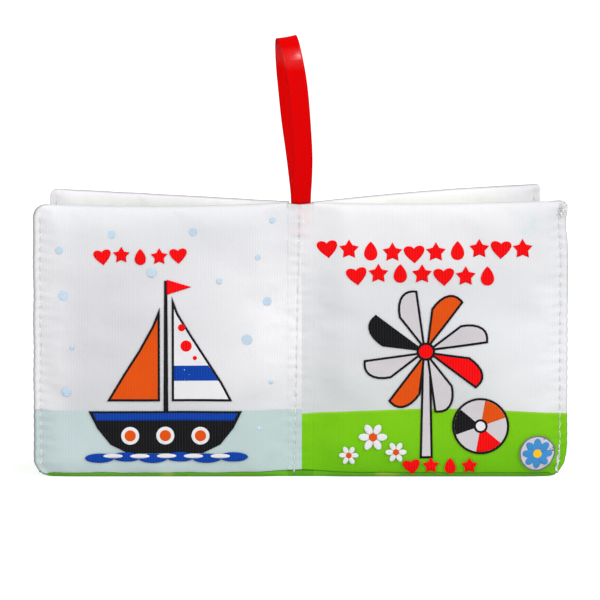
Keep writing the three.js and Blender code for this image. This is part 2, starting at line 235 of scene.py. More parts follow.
class Ink(Enum):
    """The printing inks, as the eye reads them in red, green and blue from 0 to 255."""

    BLACK = (20, 20, 22)
    RED = (242, 2, 6)
    ORANGE = (222, 80, 8)
    BLUE = (6, 62, 162)
    SNOW = (194, 215, 232)
    PALE_GREY = (205, 200, 204)
    WHITE = (228, 228, 231)
    YELLOW = (246, 196, 40)
    LEAF = (58, 140, 30)
    STEEL = (112, 118, 128)
    SKY = (64, 140, 204)


Pair = tuple[float, float]
Outline = Sequence[Pair]
Colour = tuple[float, float, float]


def clamp01(value: float) -> float:
    """A value held between nought and one."""
    return min(max(value, 0.0), 1.0)


def smooth(value: float) -> float:
    """A soft step from nought to one."""
    held = clamp01(value)
    return held * held * (3 - 2 * held)


def roll(distance: float, radius: float) -> float:
    """How full a rounded edge is at a distance inside it: nought at the edge, and one from the radius on."""
    return math.sqrt(1 - (1 - clamp01(distance / radius)) ** 2)


def bell(value: float) -> float:
    """A rounded bump that is one in its middle."""
    return math.exp(-value * value)


def wander(x: float, y: float, seed: float) -> float:
    """Smooth uneven values between about minus one and one over a plane."""
    return noise.noise(Vector((x, y, seed)))


def linear(rgb: Colour) -> tuple[float, float, float, float]:
    """A colour for a shader from one the eye reads.

    Args:
        rgb: red, green and blue from 0 to 255.

    Returns:
        The scene's linear values, with full cover.
    """
    shares = [value / 255 for value in rgb]
    red, green, blue = (s / 12.92 if s <= 0.04045 else ((s + 0.055) / 1.055) ** 2.4 for s in shares)
    return red, green, blue, 1.0


def spread(
    start: float, end: float, near_start: Sequence[float], near_end: Sequence[float], step: float
) -> list[float]:
    """Grid lines over a stretch, close together near its ends.

    Args:
        start: where the stretch begins.
        end: where it ends.
        near_start: distances of the first lines from the start.
        near_end: distances of the last lines from the end, nearest first.
        step: about how far apart the lines between them are.

    Returns:
        The lines' places, in rising order.
    """
    first = [start + distance for distance in near_start]
    last = [end - distance for distance in reversed(near_end)]
    count = max(1, round((last[0] - first[-1]) / step))
    middle = [first[-1] + (last[0] - first[-1]) * i / count for i in range(1, count)]
    return first + middle + last


def smooth_line(points: Sequence[Vector], steps: int) -> list[Vector]:
    """Points along a smooth curve through the given ones.

    Args:
        points: places that the curve goes through.
        steps: how many stretches each span between two of them is cut into.

    Returns:
        The curve's points, both ends among them.
    """
    padded = [2 * points[0] - points[1], *points, 2 * points[-1] - points[-2]]
    line = []
    for before, start, end, after in zip(padded, padded[1:], padded[2:], padded[3:]):
        for i in range(steps):
            t = i / steps
            bend = 2 * before - 5 * start + 4 * end - after
            swing = 3 * start - 3 * end + after - before
            line.append(start + 0.5 * t * ((end - before) + t * (bend + t * swing)))
    return [*line, points[-1].copy()]


def stitch_pitch(start: float, end: float) -> float:
    """The length of a stitch where a row of whole stitches fills a stretch."""
    return (end - start) / round((end - start) / STITCH_PITCH)


def line_length(points: Sequence[Vector]) -> float:
    """The length of a run of points."""
    return sum((b - a).length for a, b in zip(points, points[1:]))


class Bench:
    """Places nodes in a shader tree and joins them."""

    def __init__(self, tree: NodeTree) -> None:
        """Starts on a node tree, which it empties."""
        self.tree = tree
        tree.nodes.clear()

    def node(self, kind: str, **settings: object) -> Node:
        """Adds a node.

        Args:
            kind: its Blender type name.
            settings: values for its own properties.

        Returns:
            The new node.
        """
        made = self.tree.nodes.new(kind)
        for name, value in settings.items():
            setattr(made, name, value)
        return made

    def feed(self, socket: NodeSocket, value: object) -> None:
        """Joins an output to a socket, or sets the socket's own value.

        Args:
            socket: the input to fill.
            value: an output socket, a number, a vector or a colour.
        """
        if isinstance(value, NodeSocket):
            self.tree.links.new(value, socket)
        else:
            socket.default_value = value

    def math(self, operation: str, *values: object) -> NodeSocket:
        """A sum on up to three values.

        Args:
            operation: the Math node's operation.
            values: numbers or output sockets.

        Returns:
            The result's socket.
        """
        made = self.node("ShaderNodeMath", operation=operation)
        for socket, value in zip(made.inputs, values):
            self.feed(socket, value)
        return made.outputs[0]

    def times(self, *values: object) -> NodeSocket:
        """The product of two or more values."""
        return reduce(lambda first, second: self.math("MULTIPLY", first, second), values)

    def minus(self, value: object, less: object) -> NodeSocket:
        """A value less another."""
        return self.math("SUBTRACT", value, less)

    def scaled(self, value: object, factor: object, more: object) -> NodeSocket:
        """A value times a factor and some more."""
        return self.math("MULTIPLY_ADD", value, factor, more)

    def size_of(self, value: object) -> NodeSocket:
        """A value without its sign."""
        return self.math("ABSOLUTE", value)

    def parts(self, place: object) -> tuple[NodeSocket, NodeSocket]:
        """A place's first two coordinates."""
        split = self.node("ShaderNodeSeparateXYZ")
        self.feed(split.inputs[0], place)
        return split.outputs[0], split.outputs[1]

    def mix(self, share: object, first: object, second: object, blend: str = "MIX") -> NodeSocket:
        """A blend of two colours.

        Args:
            share: how much of the second shows.
            first: the colour below: a socket, or red, green and blue as the eye reads them.
            second: the colour above.
            blend: the Mix node's blend type.

        Returns:
            The colour's socket.
        """
        made = self.node("ShaderNodeMix", data_type="RGBA", blend_type=blend)
        self.feed(made.inputs[0], share)
        for socket, colour in ((made.inputs[6], first), (made.inputs[7], second)):
            self.feed(socket, linear(colour) if isinstance(colour, tuple) else colour)
        return made.outputs[2]

    def between(
        self, value: object, low: float, high: float, first: float = 0.0, last: float = 1.0
    ) -> NodeSocket:
        """A soft step of a value from one level to another.

        Args:
            value: what is measured.
            low: where the step begins.
            high: where it ends.
            first: the level before it.
            last: the level after it.

        Returns:
            The level's socket.
        """
        made = self.node("ShaderNodeMapRange", interpolation_type="SMOOTHSTEP")
        for socket, given in zip(made.inputs, (value, low, high, first, last)):
            self.feed(socket, given)
        return made.outputs[0]

    def noise(
        self, vector: object, scale: object, detail: float = 3.0, roughness: float = 0.55
    ) -> NodeSocket:
        """Cloudy values around a half.

        Args:
            vector: where the pattern is read.
            scale: how fine it is.
            detail: how many finer layers it has.
            roughness: how strong these are.

        Returns:
            The values' socket.
        """
        made = self.node("ShaderNodeTexNoise")
        self.feed(made.inputs["Vector"], vector)
        self.feed(made.inputs["Scale"], scale)
        self.feed(made.inputs["Detail"], detail)
        self.feed(made.inputs["Roughness"], roughness)
        return made.outputs[0]

    def stretch(self, vector: object, scale: tuple[float, float, float]) -> NodeSocket:
        """The same place in a space stretched along its axes.

        Args:
            vector: the place.
            scale: how much each axis is stretched.

        Returns:
            The vector's socket.
        """
        made = self.node("ShaderNodeMapping")
        self.feed(made.inputs["Vector"], vector)
        made.inputs["Scale"].default_value = scale
        return made.outputs[0]

    def group(self, group: NodeTree, **values: object) -> Node:
        """Places a shared effect.

        Args:
            group: the effect's node group.
            values: its inputs, by name, with underscores for spaces.

        Returns:
            The group's node.
        """
        made = self.node("ShaderNodeGroup", node_tree=group)
        for name, value in values.items():
            self.feed(made.inputs[name.replace("_", " ")], value)
        return made


class SharedEffects:
    """Effects that several finishes use, each built once as a node group."""

    RIBS_PER_METRE = 800.0
    COURSES_PER_METRE = 1250.0

    def __init__(self) -> None:
        """Builds the groups."""
        self.knit = self.knit_group()
        self.mottling = self.mottling_group()
        self.twist = self.twist_group()

    @staticmethod
    def new_group(
        name: str, inputs: dict[str, tuple[str, object]], outputs: Sequence[str]
    ) -> tuple[Bench, Node, Node]:
        """An empty node group with named sockets.

        Args:
            name: the group's name.
            inputs: for each input its kind of socket and its plain value.
            outputs: the names of its value outputs.

        Returns:
            The bench of its tree, its input node and its output node.
        """
        tree = bpy.data.node_groups.new(name, "ShaderNodeTree")
        bench = Bench(tree)
        for label, (kind, value) in inputs.items():
            socket = tree.interface.new_socket(label, in_out="INPUT", socket_type=kind)
            if value is not None:
                socket.default_value = value
        for label in outputs:
            tree.interface.new_socket(label, in_out="OUTPUT", socket_type="NodeSocketFloat")
        return bench, bench.node("NodeGroupInput"), bench.node("NodeGroupOutput")

    def knit_group(self) -> NodeTree:
        """The fine upright ribs of the brushed polyester, with its fibres.

        Returns:
            The group. Place is a place on the cloth in metres, and Ribs is how strong its ribs are.
        """
        bench, given, out = self.new_group(
            "knitted_ribs",
            {"Place": ("NodeSocketVector", None), "Ribs": ("NodeSocketFloat", 1.0)},
            ["Height", "Shade"],
        )
        place = given.outputs["Place"]
        uneven = bench.noise(bench.stretch(place, (260.0, 40.0, 1.0)), 1.0, 2.0)
        across, along = bench.parts(place)
        phase = bench.scaled(across, self.RIBS_PER_METRE, bench.times(uneven, 0.5))
        wave = bench.math("SINE", bench.times(phase, 2 * math.pi))
        courses = bench.math("SINE", bench.times(along, 2 * math.pi * self.COURSES_PER_METRE))
        fibres = bench.noise(bench.stretch(place, (5200.0, 2600.0, 1.0)), 1.0, 4.0, 0.65)
        rib = bench.times(wave, given.outputs["Ribs"])
        fuzz = bench.minus(fibres, 0.5)
        knit = bench.scaled(courses, 0.22, rib)
        bench.feed(out.inputs["Height"], bench.scaled(fuzz, 1.6, knit))
        shade = bench.scaled(rib, 0.5, bench.times(fuzz, 1.4))
        bench.feed(out.inputs["Shade"], bench.scaled(shade, 0.5, 0.5))
        return bench.tree

    def mottling_group(self) -> NodeTree:
        """Broad faint unevenness, as of handling and of a worn print.

        Returns:
            The group. Size is in metres, and Mask goes from nought to one.
        """
        bench, given, out = self.new_group(
            "mottling",
            {"Place": ("NodeSocketVector", None), "Size": ("NodeSocketFloat", 0.02)},
            ["Mask"],
        )
        scale = bench.math("DIVIDE", 1.0, given.outputs["Size"])
        clouds = bench.noise(given.outputs["Place"], scale, 4.0, 0.6)
        bench.feed(out.inputs["Mask"], bench.between(clouds, 0.3, 0.7))
        return bench.tree

    def twist_group(self) -> NodeTree:
        """The slanting lines of twisted thread or of satin weave.

        Returns:
            The group. Turns is how many lines there are in a metre, and Slant how far they lean.
        """
        bench, given, out = self.new_group(
            "slanting_lines",
            {
                "Place": ("NodeSocketVector", None),
                "Turns": ("NodeSocketFloat", 3000.0),
                "Slant": ("NodeSocketFloat", 1.0),
            },
            ["Height"],
        )
        across, along = bench.parts(given.outputs["Place"])
        lean = bench.scaled(across, given.outputs["Slant"], along)
        turns = bench.times(lean, given.outputs["Turns"])
        bench.feed(out.inputs["Height"], bench.math("SINE", bench.times(turns, 2 * math.pi)))
        return bench.tree


class FinishBench(Bench):
    """A bench for a material, with the shared effects at hand."""

    def __init__(self, tree: NodeTree, effects: SharedEffects) -> None:
        """Starts on a material's node tree, with the shared node groups."""
        super().__init__(tree)
        self.effects = effects

    def mottled(self, place: object, size: float) -> NodeSocket:
        """Uneven patches of a size in metres."""
        return self.group(self.effects.mottling, Place=place, Size=size).outputs["Mask"]

    def knitted(self, place: object, output: str, ribs: float = 1.0) -> NodeSocket:
        """The knit's Height or Shade."""
        return self.group(self.effects.knit, Place=place, Ribs=ribs).outputs[output]

    def twisted(self, place: object, turns: float, slant: float) -> NodeSocket:
        """The relief of slanting lines."""
        return self.group(self.effects.twist, Place=place, Turns=turns, Slant=slant).outputs["Height"]


@dataclass(frozen=True)
class Finish:
    """What every finish has: a name, and the plain values of its shader.

    Attributes:
        name: the material's name.
        roughness: how matt it is.
        roughness_spread: how much the roughness varies over it.
        bump: how strong its relief is.
        bump_depth: how deep its relief is, in millimetres.
    """

    name: str
    roughness: float = 0.8
    roughness_spread: float = 0.08
    bump: float = 0.5
    bump_depth: float = 0.1

    COORDINATES = "UV"

    def colour(self, bench: FinishBench, place: NodeSocket) -> object:
        """The colour over the piece, which each finish gives itself."""
        raise NotImplementedError

    def height(self, bench: FinishBench, place: NodeSocket) -> object:
        """The relief over the piece, which each finish gives itself."""
        raise NotImplementedError

    def place(self, bench: Bench) -> NodeSocket:
        """Where on the piece a pattern is read, in metres: on its cloth, or in its own frame."""
        return bench.node("ShaderNodeTexCoord").outputs[self.COORDINATES]

    def plain_values(self, shader: Node) -> None:
        """Sets the values that are the same all over the piece."""

    def feed_more(self, bench: Bench, place: NodeSocket, shader: Node) -> None:
        """Feeds what only this finish has."""

    def build(self, effects: SharedEffects) -> Material:
        """Makes the material.

        Args:
            effects: the shared node groups.

        Returns:
            The new material.
        """
        material = bpy.data.materials.new(self.name)
        material.use_nodes = True
        bench = FinishBench(material.node_tree, effects)
        shader = bench.node("ShaderNodeBsdfPrincipled")
        output = bench.node("ShaderNodeOutputMaterial")
        bench.feed(output.inputs["Surface"], shader.outputs[0])
        place = self.place(bench)
        bench.feed(shader.inputs["Base Color"], self.colour(bench, place))
        mask = bench.mottled(place, 0.012)
        low = self.roughness - self.roughness_spread
        bench.feed(shader.inputs["Roughness"], bench.scaled(mask, 2 * self.roughness_spread, low))
        bump = bench.node("ShaderNodeBump")
        bump.inputs["Strength"].default_value = self.bump
        bump.inputs["Distance"].default_value = self.bump_depth * MM
        bench.feed(bump.inputs["Height"], self.height(bench, place))
        self.feed_more(bench, place, shader)
        bench.feed(shader.inputs["Normal"], bump.outputs[0])
        self.plain_values(shader)
        return material


@dataclass(frozen=True)
class ClothFinish(Finish):
    """The brushed polyester of the pages, with its printed ground.

    Attributes:
        ground: which ground it has.
    """

    ground: Ground = Ground.COVER

    BACK_SKY = ((225, 226, 229), (214, 213, 217), (206, 207, 210))
    BACK_PAINTED_LIGHT = (238, 238, 241)
    BACK_EDGE_PAINTED_LIGHT = (236, 236, 239)
    ICE = ((193, 208, 209), (187, 206, 204))
    FRONT_SKY = ((232, 232, 234), (219, 220, 223), (206, 210, 210))
    FRONT_PAINTED_LIGHT = (233, 234, 237)
    FRONT_CORNER_PAINTED_SHADE = (221, 222, 226)
    SMUDGE = (186, 222, 222)
    HILL = ((109, 188, 8), (122, 197, 12))
    HILL_RIM = (158, 210, 56)
    RIBBON_BLUSH = (244, 120, 130)
    ICY_SKY = ((255, 252, 255), (243, 242, 246), (218, 232, 235))
    ICY_PAINTED_SHADE_FROM_SPINE = ((244, 243, 247), (248, 248, 249))
    ICY_PAINTED_EDGE_SHADE = (226, 226, 230)
    PINK_CLOUD = (246, 226, 234)
    GREEN = ((98, 180, 24), (136, 208, 44))
    YELLOW_PATCH = (196, 214, 70)
    # Painted shade between the knit's ribs.
    KNIT_SHADE = (150, 150, 156)
    HANDLED_SHADE = (200, 196, 204)

    def plain_values(self, shader: Node) -> None:
        """Gives the cloth its soft sheen."""
        shader.inputs["Sheen Weight"].default_value = 0.06
        shader.inputs["Sheen Roughness"].default_value = 0.5
        shader.inputs["Specular IOR Level"].default_value = 0.14

    def height(self, bench: FinishBench, place: NodeSocket) -> object:
        """The knitted ribs and fibres."""
        return bench.knitted(place, "Height", 0.25)

    @staticmethod
    def with_painted_seam_shade(bench: Bench, colour: NodeSocket) -> NodeSocket:
        """The same colour, greyed by painted shade in the seams, in the needle holes and on the roll under
        the foot.
        """
        depth = bench.node("ShaderNodeAttribute", attribute_name="seam_shadow").outputs["Fac"]
        return bench.mix(depth, colour, SEAM_SHADE, "MULTIPLY")

    def colour(self, bench: FinishBench, place: NodeSocket) -> object:
        """The printed ground, with painted shade between the knit's ribs and in the seams, and darker in
        random patches from handling.

        Args:
            bench: the material's bench.
            place: the place on the cloth panel, in metres from the foot of the spine.

        Returns:
            The colour's socket.
        """
        across, along = bench.parts(place)
        x = bench.math("DIVIDE", across, MM)
        z = bench.math("DIVIDE", along, MM)
        grounds = {
            Ground.COVER: self.cover_ground,
            Ground.ICY: self.icy_ground,
            Ground.GREEN: self.green_ground,
        }
        ground = grounds[self.ground](bench, place, x, z)
        knit = bench.knitted(place, "Shade")
        # Painted shade in the grooves between the knit's ribs.
        between_ribs = bench.between(knit, 0.2, 0.9, 0.045, 0.0)
        shaded = bench.mix(between_ribs, ground, self.KNIT_SHADE, "MULTIPLY")
        mask = bench.mottled(place, 0.03)
        handled = bench.mix(bench.times(mask, 0.05), shaded, self.HANDLED_SHADE, "MULTIPLY")
        # Painted shade in the seams, the needle holes and the foot's roll, read from the mesh's attribute.
        return self.with_painted_seam_shade(bench, handled)

    @staticmethod
    def sky(bench: Bench, z: NodeSocket, top: Colour, middle: Colour, low: Colour) -> NodeSocket:
        """A ground colour that darkens softly from the top of the page down."""
        lower = bench.mix(bench.between(z, 25.0, 70.0), low, middle)
        return bench.mix(bench.between(z, 75.0, 120.0), lower, top)

    @staticmethod
    def glow(bench: Bench, x: NodeSocket, z: NodeSocket, centre: Pair, reach: Pair) -> NodeSocket:
        """A soft round patch: painted light where it lightens a sky, and the spread of a smudge elsewhere.

        Args:
            bench: the material's bench.
            x: millimetres from the spine.
            z: millimetres above the foot.
            centre: the patch's middle.
            reach: how far it goes sideways and up.

        Returns:
            One in the middle, falling to nought at its reach.
        """
        across = bench.math("DIVIDE", bench.minus(x, centre[0]), reach[0])
        up = bench.math("DIVIDE", bench.minus(z, centre[1]), reach[1])
        squares = bench.scaled(up, up, bench.times(across, across))
        return bench.between(bench.math("SQRT", squares), 0.0, 1.0, 1.0, 0.0)

    def cover_ground(self, bench: FinishBench, place: NodeSocket, x: NodeSocket, z: NodeSocket) -> NodeSocket:
        """The cover panel's print: ice under a pale sky on the back cover, a green hill on the front cover,
        with painted light and shade over the skies.

        Args:
            bench: the material's bench.
            place: the place on the panel, in metres.
            x: millimetres from the spine.
            z: millimetres above the foot.

        Returns:
            The colour's socket.
        """
        back_sky = self.sky(bench, z, *self.BACK_SKY)
        # Painted light: a soft lighter patch beside the spine, and a lighter strip along the back cover's
        # free edge.
        back_sky = bench.mix(self.glow(bench, x, z, (-4, 70), (86, 62)), back_sky, self.BACK_PAINTED_LIGHT)
        back_sky = bench.mix(bench.between(x, -121.0, -98.0, 0.8, 0.0), back_sky, self.BACK_EDGE_PAINTED_LIGHT)
        ice = bench.mix(bench.between(x, -110.0, -10.0), *self.ICE)
        back = bench.mix(bench.between(z, ICY_BAND_Z - 0.5, ICY_BAND_Z + 0.5), ice, back_sky)
        front_sky = self.sky(bench, z, *self.FRONT_SKY)
        # Painted light towards the front cover's free edge, and painted shade in its top corner there.
        front_sky = bench.mix(self.glow(bench, x, z, (114, 58), (56, 62)), front_sky, self.FRONT_PAINTED_LIGHT)
        corner = bench.times(bench.between(x, 84.0, 120.0), bench.between(z, 92.0, 124.0))
        front_sky = bench.mix(bench.times(corner, 0.8), front_sky, self.FRONT_CORNER_PAINTED_SHADE)
        spot = self.glow(bench, x, z, (104, 116), (7, 9))
        smudge = bench.times(spot, bench.mottled(place, 0.005), 0.5)
        front_sky = bench.mix(smudge, front_sky, self.SMUDGE)
        across = bench.math("DIVIDE", bench.minus(x, HILL_TOP_X), HILL_HALF_WIDTH)
        drop = bench.times(across, across, HILL_DROP)
        over_hill = bench.math("ADD", z, drop)
        hill = bench.mix(bench.between(z, 2.0, 30.0), *self.HILL)
        near_rim = bench.between(over_hill, HILL_TOP_Z - 1.2, HILL_TOP_Z - 0.3, 0.0, 0.5)
        rim = bench.mix(near_rim, hill, self.HILL_RIM)
        on_hill = bench.between(over_hill, HILL_TOP_Z - 0.15, HILL_TOP_Z + 0.15)
        front = bench.mix(on_hill, rim, front_sky)
        on_front = bench.between(x, PANEL_PRINT_SPLIT_X - 0.12, PANEL_PRINT_SPLIT_X + 0.12)
        cover = bench.mix(on_front, back, front)
        beside = bench.between(bench.size_of(bench.minus(x, 0.8)), 1.0, 7.0, 1.0, 0.0)
        sewn_foot = SPINE_HEIGHT - RIBBON_SEWN_LENGTH
        above = bench.between(z, sewn_foot - 2, sewn_foot + 2)
        patches = bench.mottled(place, 0.005)
        blush = bench.times(beside, above, bench.scaled(patches, 0.13, 0.02))
        return bench.mix(blush, cover, self.RIBBON_BLUSH)

    def icy_ground(self, bench: FinishBench, place: NodeSocket, x: NodeSocket, z: NodeSocket) -> NodeSocket:
        """The pale pages' ground: near white, with faint pink clouds and ice at the foot, and painted shade
        towards the free edges.
        """
        clear = self.sky(bench, z, *self.ICY_SKY)
        # Painted shade: darker towards each leaf's free edge.
        outer = bench.mix(bench.between(x, -60.0, 0.0), *self.ICY_PAINTED_SHADE_FROM_SPINE)
        outer = bench.mix(bench.between(x, 80.0, 118.0), outer, self.ICY_PAINTED_EDGE_SHADE)
        clear = bench.mix(1.0, clear, outer, "MULTIPLY")
        clouds = bench.mottled(place, 0.025)
        return bench.mix(bench.times(clouds, 0.12), clear, self.PINK_CLOUD)

    def green_ground(self, bench: FinishBench, place: NodeSocket, x: NodeSocket, z: NodeSocket) -> NodeSocket:
        """The green pages' ground, with the yellowish patches that show on its rolled edge."""
        green = bench.mix(bench.between(z, 0.0, 110.0), *self.GREEN)
        patches = bench.noise(bench.stretch(place, (40.0, 12.0, 1.0)), 1.0, 1.0)
        yellow = bench.between(patches, 0.6, 0.68)
        return bench.mix(bench.times(yellow, 0.45), green, self.YELLOW_PATCH)


@dataclass(frozen=True)
class InkFinish(ClothFinish):
    """Printing ink on the brushed cloth, which the knit shows through.

    Attributes:
        ink: its colour.
    """

    ink: Ink = Ink.BLACK

    def plain_values(self, shader: Node) -> None:
        """Keeps the ink's gloss faint, so that its colour stays full."""
        shader.inputs["Specular IOR Level"].default_value = 0.06

    def colour(self, bench: FinishBench, place: NodeSocket) -> object:
        """The ink, a little paler on the ribs' crests and unevenly worn."""
        knit = bench.knitted(place, "Shade")
        pale = bench.mix(0.2, self.ink.value, (225, 225, 230))
        worn = bench.times(bench.between(knit, 0.45, 1.0), 0.15)
        inked = bench.mix(worn, self.ink.value, pale)
        mask = bench.mottled(place, 0.01)
        return bench.mix(bench.times(mask, 0.12), inked, (210, 205, 210), "MULTIPLY")


@dataclass(frozen=True)
class ThreadFinish(Finish):
    """White sewing thread of two twisted plies."""

    def height(self, bench: FinishBench, place: NodeSocket) -> object:
        """The twist of the plies."""
        return bench.twisted(place, 1600.0, 1.0)

    def colour(self, bench: FinishBench, place: NodeSocket) -> object:
        """White, with painted shade in the grooves between the plies."""
        twist = bench.twisted(place, 1600.0, 1.0)
        # Painted shade in the grooves between the twisted plies.
        return bench.mix(bench.between(twist, -1.0, 0.2), (228, 227, 229), (250, 249, 247))

    def plain_values(self, shader: Node) -> None:
        """Gives the thread a little sheen."""
        shader.inputs["Sheen Weight"].default_value = 0.2


@dataclass(frozen=True)
class SatinFinish(Finish):
    """Red polyester satin ribbon, smooth along its length, with a woven edge on either side."""

    def height(self, bench: FinishBench, place: NodeSocket) -> object:
        """Fine lengthwise threads, tied by slanting rows, and cords along the edges."""
        warp = bench.noise(bench.stretch(place, (4200.0, 160.0, 1.0)), 1.0, 3.0, 0.6)
        ties = bench.twisted(place, 900.0, -1.3)
        woven = bench.scaled(ties, 0.18, warp)
        return bench.scaled(self.edge(bench, place), 1.2, woven)

    @staticmethod
    def edge(bench: Bench, place: NodeSocket) -> NodeSocket:
        """One along the ribbon's woven edges, and nought between them."""
        across, _ = bench.parts(place)
        from_middle = bench.size_of(across)
        half = RIBBON_WIDTH / 2 * MM
        return bench.between(from_middle, half - 0.7 * MM, half - 0.3 * MM)

    def colour(self, bench: FinishBench, place: NodeSocket) -> object:
        """Red, with finer and darker streaks along it and darker edges."""
        streaks = bench.noise(bench.stretch(place, (2600.0, 30.0, 1.0)), 1.0, 3.0, 0.6)
        red = bench.mix(bench.between(streaks, 0.35, 0.65), (212, 0, 1), (225, 0, 2))
        return bench.mix(bench.times(self.edge(bench, place), 0.5), red, (188, 0, 4))

    def plain_values(self, shader: Node) -> None:
        """Stretches the satin's gloss along its threads."""
        shader.inputs["Specular IOR Level"].default_value = 0.04
        shader.inputs["Anisotropic"].default_value = 0.5
        shader.inputs["Coat Roughness"].default_value = 0.16

    def feed_more(self, bench: Bench, place: NodeSocket, shader: Node) -> None:
        """Gives the satin a band of glossier streaks on either side of its fold."""
        _, along = bench.parts(place)
        from_fold = bench.size_of(bench.minus(along, RIBBON_LENGTH / 2 * MM))
        from_band = bench.size_of(bench.minus(from_fold, GLOSS_FROM_FOLD * MM))
        pressed = bench.between(from_band, 3 * MM, 8 * MM, 1.0, 0.0)
        streaks = bench.between(bench.noise(bench.stretch(place, (4200.0, 1500.0, 1.0)), 1.0, 2.0), 0.4, 0.6)
        gloss = bench.times(pressed, bench.scaled(streaks, 0.9, 0.1))
        bench.feed(shader.inputs["Coat Weight"], gloss)


@dataclass(frozen=True)
class FoamFinish(Finish):
    """Open-celled foam."""

    COORDINATES = "Object"

    def height(self, bench: FinishBench, place: NodeSocket) -> object:
        """The cells."""
        cells = bench.node("ShaderNodeTexVoronoi")
        bench.feed(cells.inputs["Vector"], place)
        cells.inputs["Scale"].default_value = 1400.0
        return cells.outputs["Distance"]

    def colour(self, bench: FinishBench, place: NodeSocket) -> object:
        """Cream, yellower in patches."""
        mask = bench.mottled(place, 0.015)
        return bench.mix(mask, (246, 242, 226), (236, 228, 200))


@dataclass(frozen=True)
class PlasticFinish(Finish):
    """Moulded plastic.

    Attributes:
        rgb: its colour, from 0 to 255.
    """

    rgb: Colour = (240, 240, 240)

    COORDINATES = "Object"

    def height(self, bench: FinishBench, place: NodeSocket) -> object:
        """The faint unevenness of a moulded skin."""
        return bench.noise(place, 900.0, 3.0)

    def colour(self, bench: FinishBench, place: NodeSocket) -> object:
        """The plastic's colour with faint flow marks and scuffs."""
        mask = bench.mottled(place, 0.006)
        darker = tuple(value * 0.93 for value in self.rgb)
        return bench.mix(mask, self.rgb, darker)


@dataclass(frozen=True)
class FloorFinish(Finish):
    """A plain pale light table."""

    COORDINATES = "Object"

    def height(self, bench: FinishBench, place: NodeSocket) -> object:
        """A faint grain."""
        return bench.noise(place, 60.0)

    def colour(self, bench: FinishBench, place: NodeSocket) -> object:
        """Near white."""
        mask = bench.mottled(place, 0.5)
        return bench.mix(mask, (206, 206, 206), (203, 203, 203))

    def plain_values(self, shader: Node) -> None:
        """Sets how strongly the table glows."""
        shader.inputs["Emission Strength"].default_value = FLOOR_GLOW

    def feed_more(self, bench: Bench, place: NodeSocket, shader: Node) -> None:
        """Lets the glow whiten the table but not light the book from below."""
        seen = bench.node("ShaderNodeLightPath").outputs["Is Camera Ray"]
        bench.feed(shader.inputs["Emission Color"], seen)


class Materials:
    """Every material of the book, built once."""

    def __init__(self) -> None:
        """Builds them."""
        effects = SharedEffects()
        self.cloth = {
            ground: ClothFinish(ground.value, ground=ground).build(effects) for ground in Ground
        }
        self.inks = {
            ink: InkFinish(f"{ink.name.lower()}_ink", ink=ink).build(effects) for ink in Ink
        }
        self.thread = ThreadFinish("white_thread", roughness=0.6, bump=0.7, bump_depth=0.12).build(effects)
        self.ribbon = SatinFinish(
            "red_satin", roughness=0.26, roughness_spread=0.05, bump=0.25, bump_depth=0.06
        ).build(effects)
        self.foam = FoamFinish(
            "cream_foam", roughness=0.95, roughness_spread=0.03, bump_depth=0.3
        ).build(effects)
        self.capsule = PlasticFinish(
            "capsule_plastic", roughness=0.35, bump=0.1, rgb=(232, 234, 238)
        ).build(effects)
        self.bead = PlasticFinish("bead_plastic", roughness=0.3, bump=0.1, rgb=(246, 160, 28)).build(effects)
        self.floor = FloorFinish("pale_floor", roughness=0.9, bump=0.02).build(effects)


def new_piece(name: str, bm: BMesh, materials: Sequence[Material]) -> Object:
    """Makes an object of a finished mesh, with its place in the mesh.

    Args:
        name: the piece's name.
        bm: its mesh, in metres, which is used up.
        materials: its material slots, in order.

    Returns:
        The new object.
    """
    mesh = bpy.data.meshes.new(name)
    bm.to_mesh(mesh)
    bm.free()
    for material in materials:
        mesh.materials.append(material)
    mesh.polygons.foreach_set("use_smooth", [True] * len(mesh.polygons))
    piece = bpy.data.objects.new(name, mesh)
    bpy.context.scene.collection.objects.link(piece)
    return piece


def lay_out(bm: BMesh, columns: int, rows: int) -> list[tuple[BMVert, int, int]]:
    """Adds a flat grid to a mesh.

    Args:
        bm: the mesh.
        columns: how many grid lines stand side by side.
        rows: how many lie above each other.

    Returns:
        Each of its points with the numbers of its column and row.
    """
    made = bmesh.ops.create_grid(bm, x_segments=columns - 1, y_segments=rows - 1, size=0.5)
    points = []
    for vert in made["verts"]:
        column = round((vert.co.x + 0.5) * (columns - 1))
        row = round((vert.co.y + 0.5) * (rows - 1))
        points.append((vert, column, row))
    return points


def set_places(bm: BMesh, places: dict[BMVert, Pair]) -> None:
    """Gives points their places on the cloth, which the patterns are read on.

    Args:
        bm: the mesh.
        places: for each point, its place in metres.
    """
    layers = bm.loops.layers.uv
    layer = layers.get("place") or layers.new("place")
    for vert, place in places.items():
        for loop in vert.link_loops:
            loop[layer].uv = place


def thicken(piece: Object, thickness: float, offset: float = -1.0) -> None:
    """Gives a sheet its thickness.

    Args:
        piece: the sheet.
        thickness: in millimetres.
        offset: minus one lays it inwards from the face that shows, and nought on both sides.
    """
    wall = piece.modifiers.new("thickness", "SOLIDIFY")
    wall.thickness = thickness * MM
    wall.offset = offset


